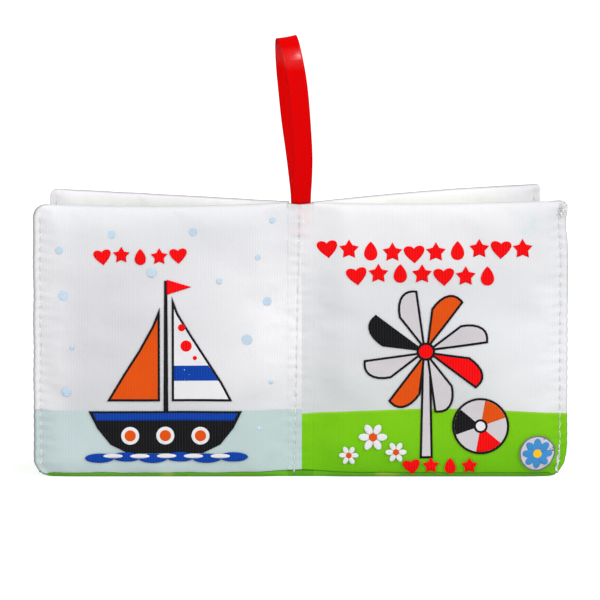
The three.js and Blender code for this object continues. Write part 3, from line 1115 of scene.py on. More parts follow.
def make_cloth(
    name: str, material: Material, columns: Sequence[float], rows: Sequence[float],
    point: Callable[[float, float], tuple[Vector, Pair, float]], is_turned: bool,
) -> Object:
    """Makes a sheet of cloth on a grid.

    Args:
        name: its name.
        material: its finish.
        columns: the grid lines side by side.
        rows: those above each other.
        point: gives a grid point in metres, its place on the cloth, and how much painted seam shade it takes.
        is_turned: whether its faces have to be turned over to look outwards.

    Returns:
        The new piece.
    """
    bm = bmesh.new()
    shadow = bm.verts.layers.float.new("seam_shadow")
    places = {}
    for vert, column, row in lay_out(bm, len(columns), len(rows)):
        vert.co, places[vert], vert[shadow] = point(columns[column], rows[row])
    set_places(bm, places)
    if is_turned:
        bmesh.ops.reverse_faces(bm, faces=bm.faces)
    piece = new_piece(name, bm, [material])
    thicken(piece, CLOTH - CLOTH_CLEARANCE)
    return piece


@dataclass
class LeafForm:
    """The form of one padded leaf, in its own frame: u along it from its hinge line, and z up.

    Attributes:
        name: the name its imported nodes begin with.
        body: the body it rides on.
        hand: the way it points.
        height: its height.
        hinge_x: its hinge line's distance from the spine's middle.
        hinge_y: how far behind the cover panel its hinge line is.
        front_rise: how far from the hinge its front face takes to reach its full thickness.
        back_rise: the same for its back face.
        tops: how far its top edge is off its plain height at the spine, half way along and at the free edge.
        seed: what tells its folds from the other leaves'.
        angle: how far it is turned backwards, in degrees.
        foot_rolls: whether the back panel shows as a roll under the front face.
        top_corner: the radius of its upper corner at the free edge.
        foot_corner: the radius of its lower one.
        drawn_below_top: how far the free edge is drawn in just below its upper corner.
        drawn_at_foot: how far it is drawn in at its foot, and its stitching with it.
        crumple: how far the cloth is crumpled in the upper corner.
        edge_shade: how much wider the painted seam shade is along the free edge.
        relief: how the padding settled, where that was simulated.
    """

    name: str
    body: str
    hand: Hand
    height: float
    hinge_x: float
    hinge_y: float
    front_rise: float
    back_rise: float
    tops: tuple[float, float, float]
    seed: float
    angle: float = 0.0
    foot_rolls: bool = False
    top_corner: float = CORNER_RADIUS
    foot_corner: float = CORNER_RADIUS
    drawn_below_top: float = 0.0
    drawn_at_foot: float = 0.0
    crumple: float = 0.0
    edge_shade: float = 0.0
    relief: "SettledCloth | None" = None

    LUMPS = 0.5
    RIPPLES = 0.13
    EDGE_RIPPLES = 0.3
    EDGE_PUCKERS = 0.26
    SEAM_PUCKERS = 0.28
    CRUMPLES = 0.22
    DRAWN_BETWEEN_STITCHES = 0.09
    EDGE_STRAY = 0.22
    TOP_WOBBLE = 0.12
    # How much painted shade the needle holes of the free edge take.
    NEEDLE_HOLE_SHADE = 0.05

    @property
    def width(self) -> float:
        """Its length from the hinge line to the free edge."""
        return PAGE_WIDTH - self.hinge_x

    @property
    def edge_pitch(self) -> float:
        """The length of a stitch of its free edge."""
        return stitch_pitch(EDGE_STITCH_END, self.height - EDGE_STITCH_END)

    def corner(self, z: float) -> float:
        """The radius of the corner that is nearest to a height."""
        return self.top_corner if z > self.height / 2 else self.foot_corner

    def free_edge(self, z: float) -> float:
        """How far out the free edge is at a height."""
        radius = self.corner(z)
        from_end = max(min(z, self.height - z, radius), 0.0)
        return self.width - radius + math.sqrt(radius**2 - (radius - from_end) ** 2)

    def from_outline(self, u: float, z: float) -> float:
        """How far inside the leaf's outline a place is.

        Args:
            u: millimetres from the hinge line.
            z: millimetres above the foot.

        Returns:
            The distance in millimetres, nought outside.
        """
        radius = self.corner(z)
        into_corner_u = u - (self.width - radius)
        into_corner_z = abs(z - self.height / 2) - (self.height / 2 - radius)
        if into_corner_u > 0 and into_corner_z > 0:
            return max(radius - math.hypot(into_corner_u, into_corner_z), 0.0)
        return max(min(self.width - u, z, self.height - z), 0.0)

    def seam_behind(self, u: float, z: float) -> float:
        """How far behind the leaf's middle plane its top seam rolls, out of sight from the front."""
        along_top = smooth((z - self.height / 2) / 20) * (1 - roll(self.from_outline(u, z), SEAM_SHIFT_REACH))
        return SEAM_SHIFT * along_top

    def seam_shadow(self, u: float, z: float) -> float:
        """How much painted shade the outline's seam gives a place. A cover's top seam takes it only near its
        free edge.
        """
        beside = smooth((u - self.width + 6) / 6)
        reach = SEAM_SHADE_REACH + self.edge_shade * beside
        shade = bell(self.from_outline(u, z) / reach)
        if self.foot_rolls:
            before_corner = 1 - smooth((u - self.width + 9) / 3)
            shade *= 1 - before_corner * smooth((z - self.height + 4) / 4)
        return shade

    def painted_needle_hole_shade(self, u: float, z: float) -> float:
        """The painted shade that a needle hole of the free edge's stitching gives a place."""
        across = (self.free_edge(z) - u - EDGE_STITCH_INSET) / NEEDLE_HOLE_RADIUS
        if abs(across) > 3 or not EDGE_STITCH_END - 1 < z < self.height - EDGE_STITCH_END + 1:
            return 0.0
        along = math.remainder(z - EDGE_STITCH_END, self.edge_pitch) / NEEDLE_HOLE_RADIUS
        return self.NEEDLE_HOLE_SHADE * bell(math.hypot(across, along))

    def round_corner(self, u: float, z: float) -> Pair:
        """Moves a place of a square panel to the one it has in the panel with round corners.

        Args:
            u: millimetres from the hinge line.
            z: millimetres above the foot.

        Returns:
            The place's new u and z.
        """
        radius = self.corner(z)
        across = (u - (self.width - radius)) / radius
        up = (abs(z - self.height / 2) - (self.height / 2 - radius)) / radius
        if across <= 0 or up <= 0:
            return u, z
        out = across * math.sqrt(1 - up * up / 2) * radius
        half = self.height / 2 - radius + up * math.sqrt(1 - across * across / 2) * radius
        return self.width - radius + out, self.height / 2 + math.copysign(half, z - self.height / 2)

    def inside_foot(self, u: float, z: float, distance: float) -> Pair:
        """Moves a place on the foot's outline into the leaf, square to the outline.

        Args:
            u: millimetres from the hinge line.
            z: millimetres above the foot.
            distance: how far it moves, in millimetres.

        Returns:
            The place's new u and z.
        """
        into_u = u - (self.width - self.foot_corner)
        into_z = z - self.foot_corner
        if into_u <= 0 or into_z >= 0:
            return u, z + distance
        share = distance / math.hypot(into_u, into_z)
        return u - into_u * share, z - into_z * share

    def edge_shift(self, u: float, z: float) -> float:
        """How far the sewn free edge strays from its straight line, which fades inwards.

        Args:
            u: millimetres from the hinge line.
            z: millimetres above the foot.

        Returns:
            Millimetres outwards.
        """
        phase = 2 * math.pi * (z - EDGE_STITCH_END) / self.edge_pitch
        stray = self.EDGE_STRAY * wander(z / 13, 0.0, self.seed + 27)
        stray -= self.DRAWN_BETWEEN_STITCHES * math.cos(phase)
        stray -= self.drawn_below_top * bell((self.height - 10 - z) / 5.5)
        stray -= self.drawn_at_foot * smooth((DRAWN_FOOT_REACH - z) / DRAWN_FOOT_REACH)
        return stray * clamp01(u / self.width) ** 7

    def plain_face(self, side: Side, u: float, z: float) -> float:
        """How far a face stands from the leaf's middle plane before any folds.

        Args:
            side: which face.
            u: millimetres from the hinge line.
            z: millimetres above the foot.

        Returns:
            The distance in millimetres.
        """
        from_free_edge = self.free_edge(z) - u
        beside = 1 - clamp01((from_free_edge - PAD_INSET + 0.6) / EDGE_ROLL)
        pad = 1 - beside * beside
        pad *= roll(z + FOOT_CUT, EDGE_ROLL) * roll(self.height - z, EDGE_ROLL)
        edge = EDGE_HALF_THICKNESS + (PAD_HALF_THICKNESS - EDGE_HALF_THICKNESS) * pad
        rise = smooth((u + ROOT_OVERHANG) / (self.front_rise if side is Side.FRONT else self.back_rise))
        groove = STITCH_GROOVE * bell((from_free_edge - EDGE_STITCH_INSET) / STITCH_GROOVE_WIDTH)
        return ROOT_HALF_THICKNESS + (edge - ROOT_HALF_THICKNESS) * rise - groove

    def folds(self, side: Side, u: float, z: float) -> float:
        """How far the cloth stands out from the plain face: soft lumps, and puckers along its seams.

        Args:
            side: which face.
            u: millimetres from the hinge line.
            z: millimetres above the foot.

        Returns:
            The distance in millimetres.
        """
        seed = self.seed + SIDE_SEED * side.value
        from_free_edge = self.free_edge(z) - u
        inside = smooth(self.from_outline(u, z) / 6)
        away_from_hinge = smooth(u / 30)
        lumps = self.LUMPS * wander(u / 31, z / 36, seed) * inside * away_from_hinge
        ripples = self.RIPPLES * wander(u / 11, z / 34, seed + 3) * inside * away_from_hinge
        beside_seam = bell((from_free_edge - 8) / 6)
        ripples += self.EDGE_RIPPLES * wander(u / 13, z / 4.5, seed + 6) * beside_seam * inside
        phase = 2 * math.pi * (z - EDGE_STITCH_END) / self.edge_pitch
        stitch = -math.cos(phase + 0.9 * wander(z / 17, u / 9, seed + 4))
        strength = 0.55 + 0.45 * wander(u / 9, z / 7, seed + 5)
        beside_stitch = bell((from_free_edge - EDGE_STITCH_INSET - 0.5) / 3.4)
        edge_puckers = self.EDGE_PUCKERS * stitch * strength * beside_stitch
        from_end = min(z, self.height - z)
        seam_puckers = self.SEAM_PUCKERS * wander(u / 2.6, z / 9, seed + 9)
        seam_puckers *= math.exp(-from_end / 5.5) * smooth(from_end / 1.5)
        seam_puckers *= smooth(from_free_edge / 6) * smooth(u / 6)
        at_spine = spine_pucker(self.hand.value * (self.hinge_x + u), z, side, self.hinge_y)
        crumple = self.CRUMPLES * self.crumple * wander(u / 2.7, z / 2.7, seed + 13)
        crumple *= bell(math.hypot(self.width - 3 - u, self.height - 5 - z) / 5.5)
        settled = self.relief.at(side, u, z) if self.relief else 0.0
        return lumps + ripples + edge_puckers + seam_puckers + at_spine + crumple + settled

    def face(self, side: Side, u: float, z: float) -> float:
        """How far the finished cloth's outside stands from the leaf's middle plane.

        The faces that meet another leaf's when the book is shut keep clear of it.

        Args:
            side: which face.
            u: millimetres from the hinge line.
            z: millimetres above the foot.

        Returns:
            The distance in millimetres, a hair at the outline, where both panels meet.
        """
        folds = self.folds(side, u, z)
        if (side is Side.BACK) == self.foot_rolls:
            folds = min(folds - FACING_ROOM, -FACING_LEAST) * smooth((u + 2) / 10)
        full = self.plain_face(side, u, z) + folds
        return RIM_GAP + (full - RIM_GAP) * roll(self.from_outline(u, z), RIM_ROLL)

    def top_shift(self, u: float, z: float) -> float:
        """How far the unevenly sewn top edge pulls a place up or down.

        Args:
            u: millimetres from the hinge line.
            z: millimetres above the foot.

        Returns:
            Millimetres up.
        """
        at_spine, in_middle, at_edge = self.tops
        along = clamp01(u / self.width)
        ends = TOP_FULLNESS + at_spine + (at_edge - at_spine) * along
        middle = in_middle - (at_spine + at_edge) / 2
        wobble = self.TOP_WOBBLE * wander(u / 11, 0.0, self.seed + 17)
        return (ends + middle * math.sin(math.pi * along) + wobble) * clamp01(z / self.height) ** 5

    def foot_roll(self, u: float) -> float:
        """How far up the front face the back panel's roll comes.

        Args:
            u: millimetres from the hinge line.

        Returns:
            Millimetres, nought where there is none.
        """
        if not self.foot_rolls:
            return 0.0
        uneven = 0.3 * wander(u / 13, 0.0, self.seed + 21) + 0.12 * wander(u / 3.5, 0.0, self.seed + 23)
        full = FOOT_ROLL + FOOT_ROLL_AT_SPINE * math.exp(-max(u, 0.0) / 22) + uneven
        return max(full * smooth((self.width - 1 - u) / 9), 0.0)

    def placed(self, u: float, out: float, z: float) -> Vector:
        """A place of the leaf's frame, in metres in the book's frame.

        Args:
            u: millimetres from the hinge line.
            out: millimetres behind the leaf's middle plane.
            z: millimetres above the foot.

        Returns:
            The point.
        """
        turn = math.radians(self.angle)
        behind = out + self.seam_behind(u, z)
        along = u + self.edge_shift(u, z)
        x = self.hand.value * (self.hinge_x + along * math.cos(turn) - behind * math.sin(turn))
        y = self.hinge_y + along * math.sin(turn) + behind * math.cos(turn)
        return Vector((x, y, z + self.top_shift(u, z))) * MM

    def on_panel(self, u: float, z: float) -> Pair:
        """A place on the leaf's cloth, in metres from the foot of the spine."""
        return self.hand.value * (self.hinge_x + u) * MM, z * MM


def cubic(values: Sequence[float], share: float) -> float:
    """A smooth value between the second and the third of four even ones.

    Args:
        values: the four values.
        share: how far along it is from the second to the third.

    Returns:
        The value there.
    """
    a, b, c, d = values
    bend = 2 * a - 5 * b + 4 * c - d
    return b + 0.5 * share * (c - a + share * (bend + share * (3 * b - 3 * c + d - a)))


@dataclass(frozen=True)
class SettledCloth:
    """How far a leaf's cloth settled out of its plain faces, on the grid that its simulation ran on.

    Attributes:
        columns: the grid lines along the leaf, in millimetres from the hinge line.
        rows: the grid lines up it, in millimetres above the foot.
        shifts: for each face, how far each grid point moved outwards, column by column.
    """

    columns: Sequence[float]
    rows: Sequence[float]
    shifts: dict[Side, list[list[float]]]

    @staticmethod
    def span(lines: Sequence[float], place: float) -> tuple[list[int], float]:
        """The four grid lines about a place, and how far it is from the second to the third.

        Args:
            lines: the grid lines' places.
            place: the place between them.

        Returns:
            The lines' numbers, and the share.
        """
        last = len(lines) - 1
        first = min(max(bisect_right(lines, place) - 1, 0), last - 1)
        share = clamp01((place - lines[first]) / (lines[first + 1] - lines[first]))
        return [min(max(first + i, 0), last) for i in (-1, 0, 1, 2)], share

    def at(self, side: Side, u: float, z: float) -> float:
        """How far the cloth moved outwards at a place.

        Args:
            side: which face.
            u: millimetres from the hinge line.
            z: millimetres above the foot.

        Returns:
            The distance in millimetres.
        """
        columns, across = self.span(self.columns, u)
        rows, up = self.span(self.rows, z)
        grid = self.shifts[side]
        return cubic([cubic([grid[column][row] for row in rows], up) for column in columns], across)


@dataclass
class PaddingSimulation:
    """Lets the cloth of a leaf settle over its padding.

    Both panels are a little larger than the pad. They are held along the outline, at the hinge and at each
    needle hole, and the padding pushes them out in between, so that they swell and pucker. The pad is
    simulated ten times as large as it is, which the solver takes better.

    Attributes:
        form: the leaf's form.
    """

    form: LeafForm

    SCALE = 0.01
    FRAMES = 20
    STEP = 2.3
    FULLNESS = 0.008
    PRESSURE = 0.15
    MASS = 0.1
    LARGEST_SHIFT = 1.0
    SHARE_OF_SHIFT = 0.4
    UNEVEN_START = 0.15
    END_ROWS = 3

    def grid(self) -> tuple[list[float], list[float]]:
        """The grid's columns and rows, which meet the needle holes."""
        form = self.form
        stitch = form.width - EDGE_STITCH_INSET
        count = round(stitch / self.STEP)
        columns = [stitch * i / count for i in range(count + 1)]
        columns += [form.width - EDGE_STITCH_INSET / 2, form.width]
        start, end = EDGE_STITCH_END, form.height - EDGE_STITCH_END
        half_pitch = stitch_pitch(start, end) / 2
        steps = round((end - start) / half_pitch)
        middle = [start + half_pitch * i for i in range(steps + 1)]
        ends = [start * i / self.END_ROWS for i in range(self.END_ROWS)]
        return columns, [*ends, *middle, *[form.height - z for z in reversed(ends)]]

    def is_held(self, column: int, row: int, columns: Sequence[float], rows: Sequence[float]) -> bool:
        """Whether a grid point is sewn fast.

        Args:
            column: its column's number.
            row: its row's number.
            columns: the columns' places.
            rows: the rows' places.

        Returns:
            True on the outline, at the hinge and in the needle holes.
        """
        u, z = columns[column], rows[row]
        if self.form.from_outline(u, z) < 1.0 or column < 2:
            return True
        is_stitched = self.END_ROWS <= row < len(rows) - self.END_ROWS
        is_hole = (row - self.END_ROWS) % 2 == 0
        outside_stitching = 2
        return is_stitched and is_hole and column == len(columns) - 1 - outside_stitching

    def run(self) -> SettledCloth:
        """Runs the simulation.

        Returns:
            How far the cloth moved.
        """
        columns, rows = self.grid()
        bm = bmesh.new()
        starts = {}
        held = []
        for side in Side:
            made = lay_out(bm, len(columns), len(rows))
            bm.verts.index_update()
            for vert, column, row in made:
                u, z = columns[column], rows[row]
                full = self.form.plain_face(side, u, z)
                out = RIM_GAP + (full - RIM_GAP) * roll(self.form.from_outline(u, z), EDGE_HALF_THICKNESS)
                uneven = self.UNEVEN_START * wander(u / 18, z / 18, self.form.seed + SIDE_SEED * side.value)
                vert.co = Vector((u, side.value * (out + uneven), z)) * self.SCALE
                starts[vert.index] = (side, column, row, out)
                if self.is_held(column, row, columns, rows):
                    held.append(vert.index)
            if side is Side.BACK:
                faces = {face for vert, _, _ in made for face in vert.link_faces}
                bmesh.ops.reverse_faces(bm, faces=list(faces))
        mesh = bpy.data.meshes.new("settling")
        bm.to_mesh(mesh)
        bm.free()
        cloth = bpy.data.objects.new("settling", mesh)
        bpy.context.scene.collection.objects.link(cloth)
        cloth.vertex_groups.new(name="held").add(held, 1.0, "REPLACE")
        self.set_cloth(cloth)
        scene = bpy.context.scene
        for frame in range(1, self.FRAMES + 1):
            scene.frame_set(frame)
        settled = cloth.evaluated_get(bpy.context.evaluated_depsgraph_get()).to_mesh()
        shifts = {side: [[0.0] * len(rows) for _ in columns] for side in Side}
        for index, (side, column, row, out) in starts.items():
            moved = self.SHARE_OF_SHIFT * (side.value * settled.vertices[index].co.y / self.SCALE - out)
            shifts[side][column][row] = self.LARGEST_SHIFT * math.tanh(moved / self.LARGEST_SHIFT)
        scene.frame_set(1)
        bpy.data.objects.remove(cloth)
        bpy.data.meshes.remove(mesh)
        return SettledCloth(columns, rows, shifts)

    def set_cloth(self, cloth: Object) -> None:
        """Gives the coarse leaf its cloth settings.

        Args:
            cloth: the coarse leaf.
        """
        modifier = cloth.modifiers.new("cloth", "CLOTH")
        modifier.point_cache.frame_start = 1
        modifier.point_cache.frame_end = self.FRAMES
        settings = modifier.settings
        settings.quality = 5
        settings.mass = self.MASS
        settings.tension_stiffness = 15.0
        settings.compression_stiffness = 15.0
        settings.shear_stiffness = 5.0
        settings.bending_stiffness = 5.0
        settings.air_damping = 1.0
        settings.vertex_group_mass = "held"
        settings.shrink_min = -self.FULLNESS
        settings.use_pressure = True
        settings.uniform_pressure_force = self.PRESSURE
        settings.effector_weights.gravity = 0.0
        modifier.collision_settings.use_collision = False


NEAR_ROOT = (0.0, 0.12, 0.35, 0.7, 1.2, 2.0)
NEAR_FREE_EDGE = (0.0, 0.1, 0.28, 0.55, 0.9, 1.4, 2.0, 2.6, 3.0, 3.4, 3.8, 4.3, 4.9, 5.6, 6.4, 7.3)
NEAR_ENDS = (0.0, 0.1, 0.28, 0.55, 0.9, 1.35, 1.9, 2.6, 3.4, 4.3)
ROLLED_ROWS = (-1.0, -0.94, -0.82, -0.66, -0.5, -0.34, -0.2, -0.1, -0.03)


@dataclass
class ClothPanel:
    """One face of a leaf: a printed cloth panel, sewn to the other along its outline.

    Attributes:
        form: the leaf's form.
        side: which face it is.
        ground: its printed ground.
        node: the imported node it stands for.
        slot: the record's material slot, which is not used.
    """

    form: LeafForm
    side: Side
    ground: Ground
    node: str
    slot: str

    def columns(self) -> list[float]:
        """The grid lines along the leaf."""
        return spread(-ROOT_OVERHANG, self.form.width, NEAR_ROOT, NEAR_FREE_EDGE, CLOTH_STEP)

    def rows(self) -> list[float]:
        """The grid lines up the leaf. Those below nought are shares of the roll under the front face."""
        rows = spread(0.0, self.form.height, NEAR_ENDS, NEAR_ENDS, CLOTH_STEP)
        if self.form.foot_rolls and self.side is Side.BACK:
            return [*ROLLED_ROWS, *rows]
        return rows

    def point(self, u: float, row: float) -> tuple[Vector, Pair, float]:
        """Where a grid point lies.

        The back panel's top is tucked a little below the front panel's. At a foot that rolls, its rows below
        nought go up round the front panel's foot.

        Args:
            u: its column.
            row: its row.

        Returns:
            The point in metres, its place on the cloth, and how much painted shade it takes in a seam, a
            needle hole or the roll under the foot.
        """
        form = self.form
        rolled = form.foot_roll(u)
        u_round, z_round = form.round_corner(u, max(row, 0.0))
        if self.side is Side.BACK:
            z_round -= TOP_TUCK * (1 - roll(form.height - row, TOP_TUCK_REACH))
        if row < 0:
            around = -row * rolled
            u_in, z_in = form.inside_foot(u_round, z_round, around)
            tuck = CLOTH * (1 - roll(rolled - around, FOOT_TUCK_REACH))
            out = -self.side.value * max(form.face(Side.FRONT, u_in, z_in) - tuck, RIM_GAP)
            # Painted shade: the roll under the foot a little darker all over, and darkest at its seam with
            # the front face.
            deep = 0.15 + 0.6 * bell((rolled - around) / SEAM_SHADE_REACH)
            return form.placed(u_in, out, z_in), form.on_panel(u, -around), deep
        out = form.face(self.side, u_round, z_round)
        if self.side is Side.FRONT and rolled > 0:
            u_round, z_round = form.inside_foot(u_round, z_round, rolled * (1 - smooth(row / 12)))
            tuck = FRONT_FOOT_TUCK * (1 - roll(row, FOOT_TUCK_REACH))
            out = max(form.face(self.side, u_round, z_round) - tuck, RIM_GAP)
        if u < ROOT_OVERHANG:
            # Both panels curve towards each other round the leaf's root.
            out *= 0.75 + 0.25 * roll(u + ROOT_OVERHANG, 2 * ROOT_OVERHANG)
        point = form.placed(u_round, self.side.value * out, z_round)
        # Painted shade in the outline's seam and in the needle holes.
        deep = max(form.seam_shadow(u_round, z_round), form.painted_needle_hole_shade(u_round, z_round))
        return point, form.on_panel(u_round, z_round), deep

    def build(self, materials: Materials) -> Object:
        """Makes the panel.

        Args:
            materials: the book's materials.

        Returns:
            The new piece.
        """
        is_turned = self.side.value * self.form.hand.value > 0
        cloth = materials.cloth[self.ground]
        piece = make_cloth(f"{self.node}_panel", cloth, self.columns(), self.rows(), self.point, is_turned)
        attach(piece, self.form.body)
        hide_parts(self.node)
        return piece


def add_thread(bm: BMesh, points: Sequence[Vector], side_of: Vector, radius: float, around: int = 7) -> None:
    """Adds a short thread to a mesh, as a tube along points.

    Args:
        bm: the mesh.
        points: the thread's middle line, in metres.
        side_of: a direction that the thread doesn't run along.
        radius: its radius in the middle, in millimetres; it narrows towards its ends.
        around: how many points go round it.
    """
    last = len(points) - 1
    made = lay_out(bm, around, len(points))
    places = {}
    for vert, column, row in made:
        along = (points[min(row + 1, last)] - points[max(row - 1, 0)]).normalized()
        beside = along.cross(side_of).normalized()
        out = beside.cross(along)
        angle = 2 * math.pi * column / (around - 1)
        thick = radius * (0.6 + 0.4 * math.sin(math.pi * row / last) ** 0.5) * MM
        vert.co = points[row] + (out * math.cos(angle) + beside * math.sin(angle)) * thick
        places[vert] = (angle * radius * MM, points[row].z)
    set_places(bm, places)


def finish_thread(bm: BMesh, name: str, materials: Materials) -> Object:
    """Closes the tubes of a mesh of threads and makes it a piece.

    Args:
        bm: the mesh.
        name: the piece's name.
        materials: the book's materials.

    Returns:
        The new piece.
    """
    bmesh.ops.remove_doubles(bm, verts=bm.verts, dist=1e-7)
    open_ends = [edge for edge in bm.edges if edge.is_boundary]
    bmesh.ops.holes_fill(bm, edges=open_ends, sides=8)
    bmesh.ops.recalc_face_normals(bm, faces=bm.faces)
    return new_piece(name, bm, [materials.thread])


@dataclass
class Stitching:
    """A row of machine stitches, each a short piece of thread between two needle holes.

    Attributes:
        node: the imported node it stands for.
        body: the body it rides on.
        start: the height of the first needle hole.
        end: the height of the last one.
        surface: gives, for a height, the point of the cloth's outside on the seam and the way out from it,
            both in metres.
        seed: what makes its stitches uneven in their own way.
        radius: the thread's radius in millimetres.
        gap: how far apart the stitches' ends are, in millimetres.
        tacks: how many short stitches are sewn over its foot to hold it.
    """

    node: str
    body: str
    start: float
    end: float
    surface: Callable[[float], tuple[Vector, Vector]]
    seed: int
    radius: float = THREAD_RADIUS
    gap: float = STITCH_GAP
    tacks: int = 0

    POINTS = 9
    UNEVEN_LENGTH = 0.15
    LEAN = 0.35
    TACK_REACH = 11.0
    TACK_LEAN = 1.3
    TACK_LIFT = 0.1

    def stitch(self, low: float, high: float, lean: float) -> tuple[list[Vector], Vector]:
        """The course of one stitch.

        Args:
            low: the height of its lower needle hole.
            high: the height of its upper one.
            lean: how far its upper end is off the seam, in millimetres.

        Returns:
            Points along the stitch, and the way out of the cloth.
        """
        points = []
        for i in range(self.POINTS):
            along = i / (self.POINTS - 1)
            centre, out = self.surface(low + (high - low) * along)
            beside = out.cross(Vector((0, 0, 1))).normalized()
            lift = self.radius * (2.1 * math.sin(math.pi * along) ** 0.4 - 1.4)
            points.append(centre + (out * lift + beside * lean * (along - 0.5)) * MM)
        return points, out

    def build(self, materials: Materials) -> Object:
        """Makes the row.

        Args:
            materials: the book's materials.

        Returns:
            The new piece.
        """
        chance = random.Random(self.seed)
        pitch = stitch_pitch(self.start, self.end)
        count = round((self.end - self.start) / pitch)
        bm = bmesh.new()
        for i in range(count):
            low = self.start + i * pitch + self.gap / 2
            high = low + pitch - self.gap + chance.uniform(-self.UNEVEN_LENGTH, self.UNEVEN_LENGTH)
            points, out = self.stitch(low, high, chance.uniform(-self.LEAN, self.LEAN))
            add_thread(bm, points, out, self.radius)
        for _ in range(self.tacks):
            low = self.start + self.TACK_REACH * chance.random() ** 1.3 - 2.6
            high = low + chance.uniform(1.4, 2.8)
            points, out = self.stitch(low, high, chance.uniform(-self.TACK_LEAN, self.TACK_LEAN))
            aside = Vector((chance.uniform(-0.5, 0.4), 0, 0)) * MM + out * self.TACK_LIFT * MM
            add_thread(bm, [point + aside for point in points], out, self.radius)
        piece = finish_thread(bm, f"{self.node}_stitches", materials)
        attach(piece, self.body)
        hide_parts(self.node)
        return piece


@dataclass
class WhippedCorner:
    """Rough hand stitches that close the leaf's upper corner, with some loose loops of thread.

    Attributes:
        form: the leaf's form.
        count: how many stitches go over the edge.
        seed: what makes them uneven.
    """

    form: LeafForm
    count: int = 15
    seed: int = 3

    POINTS = 11
    HALF_SPREAD = 75
    LOOPS = 7
    CLEARANCE = 0.26
    OVER_EDGE = 0.12

    def stitch(self, turn: float, reach: float, lean: float) -> list[Vector]:
        """One stitch, which goes from the front face over the edge to the back face.

        Args:
            turn: where it crosses the corner, in degrees from the free edge's direction.
            reach: how far it reaches into the leaf, in millimetres.
            lean: how far it leans, in degrees.

        Returns:
            Points along it, in metres.
        """
        form = self.form
        radius = form.top_corner
        centre_u, centre_z = form.width - radius, form.height - radius
        points = []
        for i in range(self.POINTS):
            share = 2 * i / (self.POINTS - 1) - 1
            a = math.radians(turn + lean * share)
            distance = radius + self.OVER_EDGE - (reach + self.OVER_EDGE) * abs(share) ** 1.4
            u, z = centre_u + distance * math.cos(a), centre_z + distance * math.sin(a)
            side = Side.FRONT if share < 0 else Side.BACK
            out = form.face(side, min(u, form.width), z) * roll(abs(share), 0.6) + self.CLEARANCE
            points.append(form.placed(u, side.value * out * min(abs(share) * 4, 1.0), z))
        return points

    def build(self, materials: Materials) -> Object:
        """Makes the stitches.

        Args:
            materials: the book's materials.

        Returns:
            The new piece.
        """
        chance = random.Random(self.seed)
        bm = bmesh.new()
        for i in range(self.count):
            turn = self.HALF_SPREAD * (2 * i / (self.count - 1) - 1) + chance.uniform(-5, 5)
            points = self.stitch(turn, chance.uniform(1.6, 3.6), chance.uniform(-24, 24))
            add_thread(bm, points, Vector((0, 0, 1)) if abs(turn) < 40 else Vector((1, 0, 0)), THREAD_RADIUS)
        for _ in range(self.LOOPS):
            start = self.stitch(chance.uniform(-60, 70), chance.uniform(2.0, 4.5), chance.uniform(20, 60))[:4]
            drift = Vector((chance.uniform(-1, 1), -0.4, chance.uniform(-1, 1))) * MM
            loop = [start[0], start[2] + drift * 0.6, start[3] + drift, start[1] + drift * 0.2]
            add_thread(bm, smooth_line(loop, 4), Vector((0, 1, 0)), EDGE_THREAD_RADIUS)
        piece = finish_thread(bm, f"{self.form.name}_corner_whipping", materials)
        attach(piece, self.form.body)
        return piece


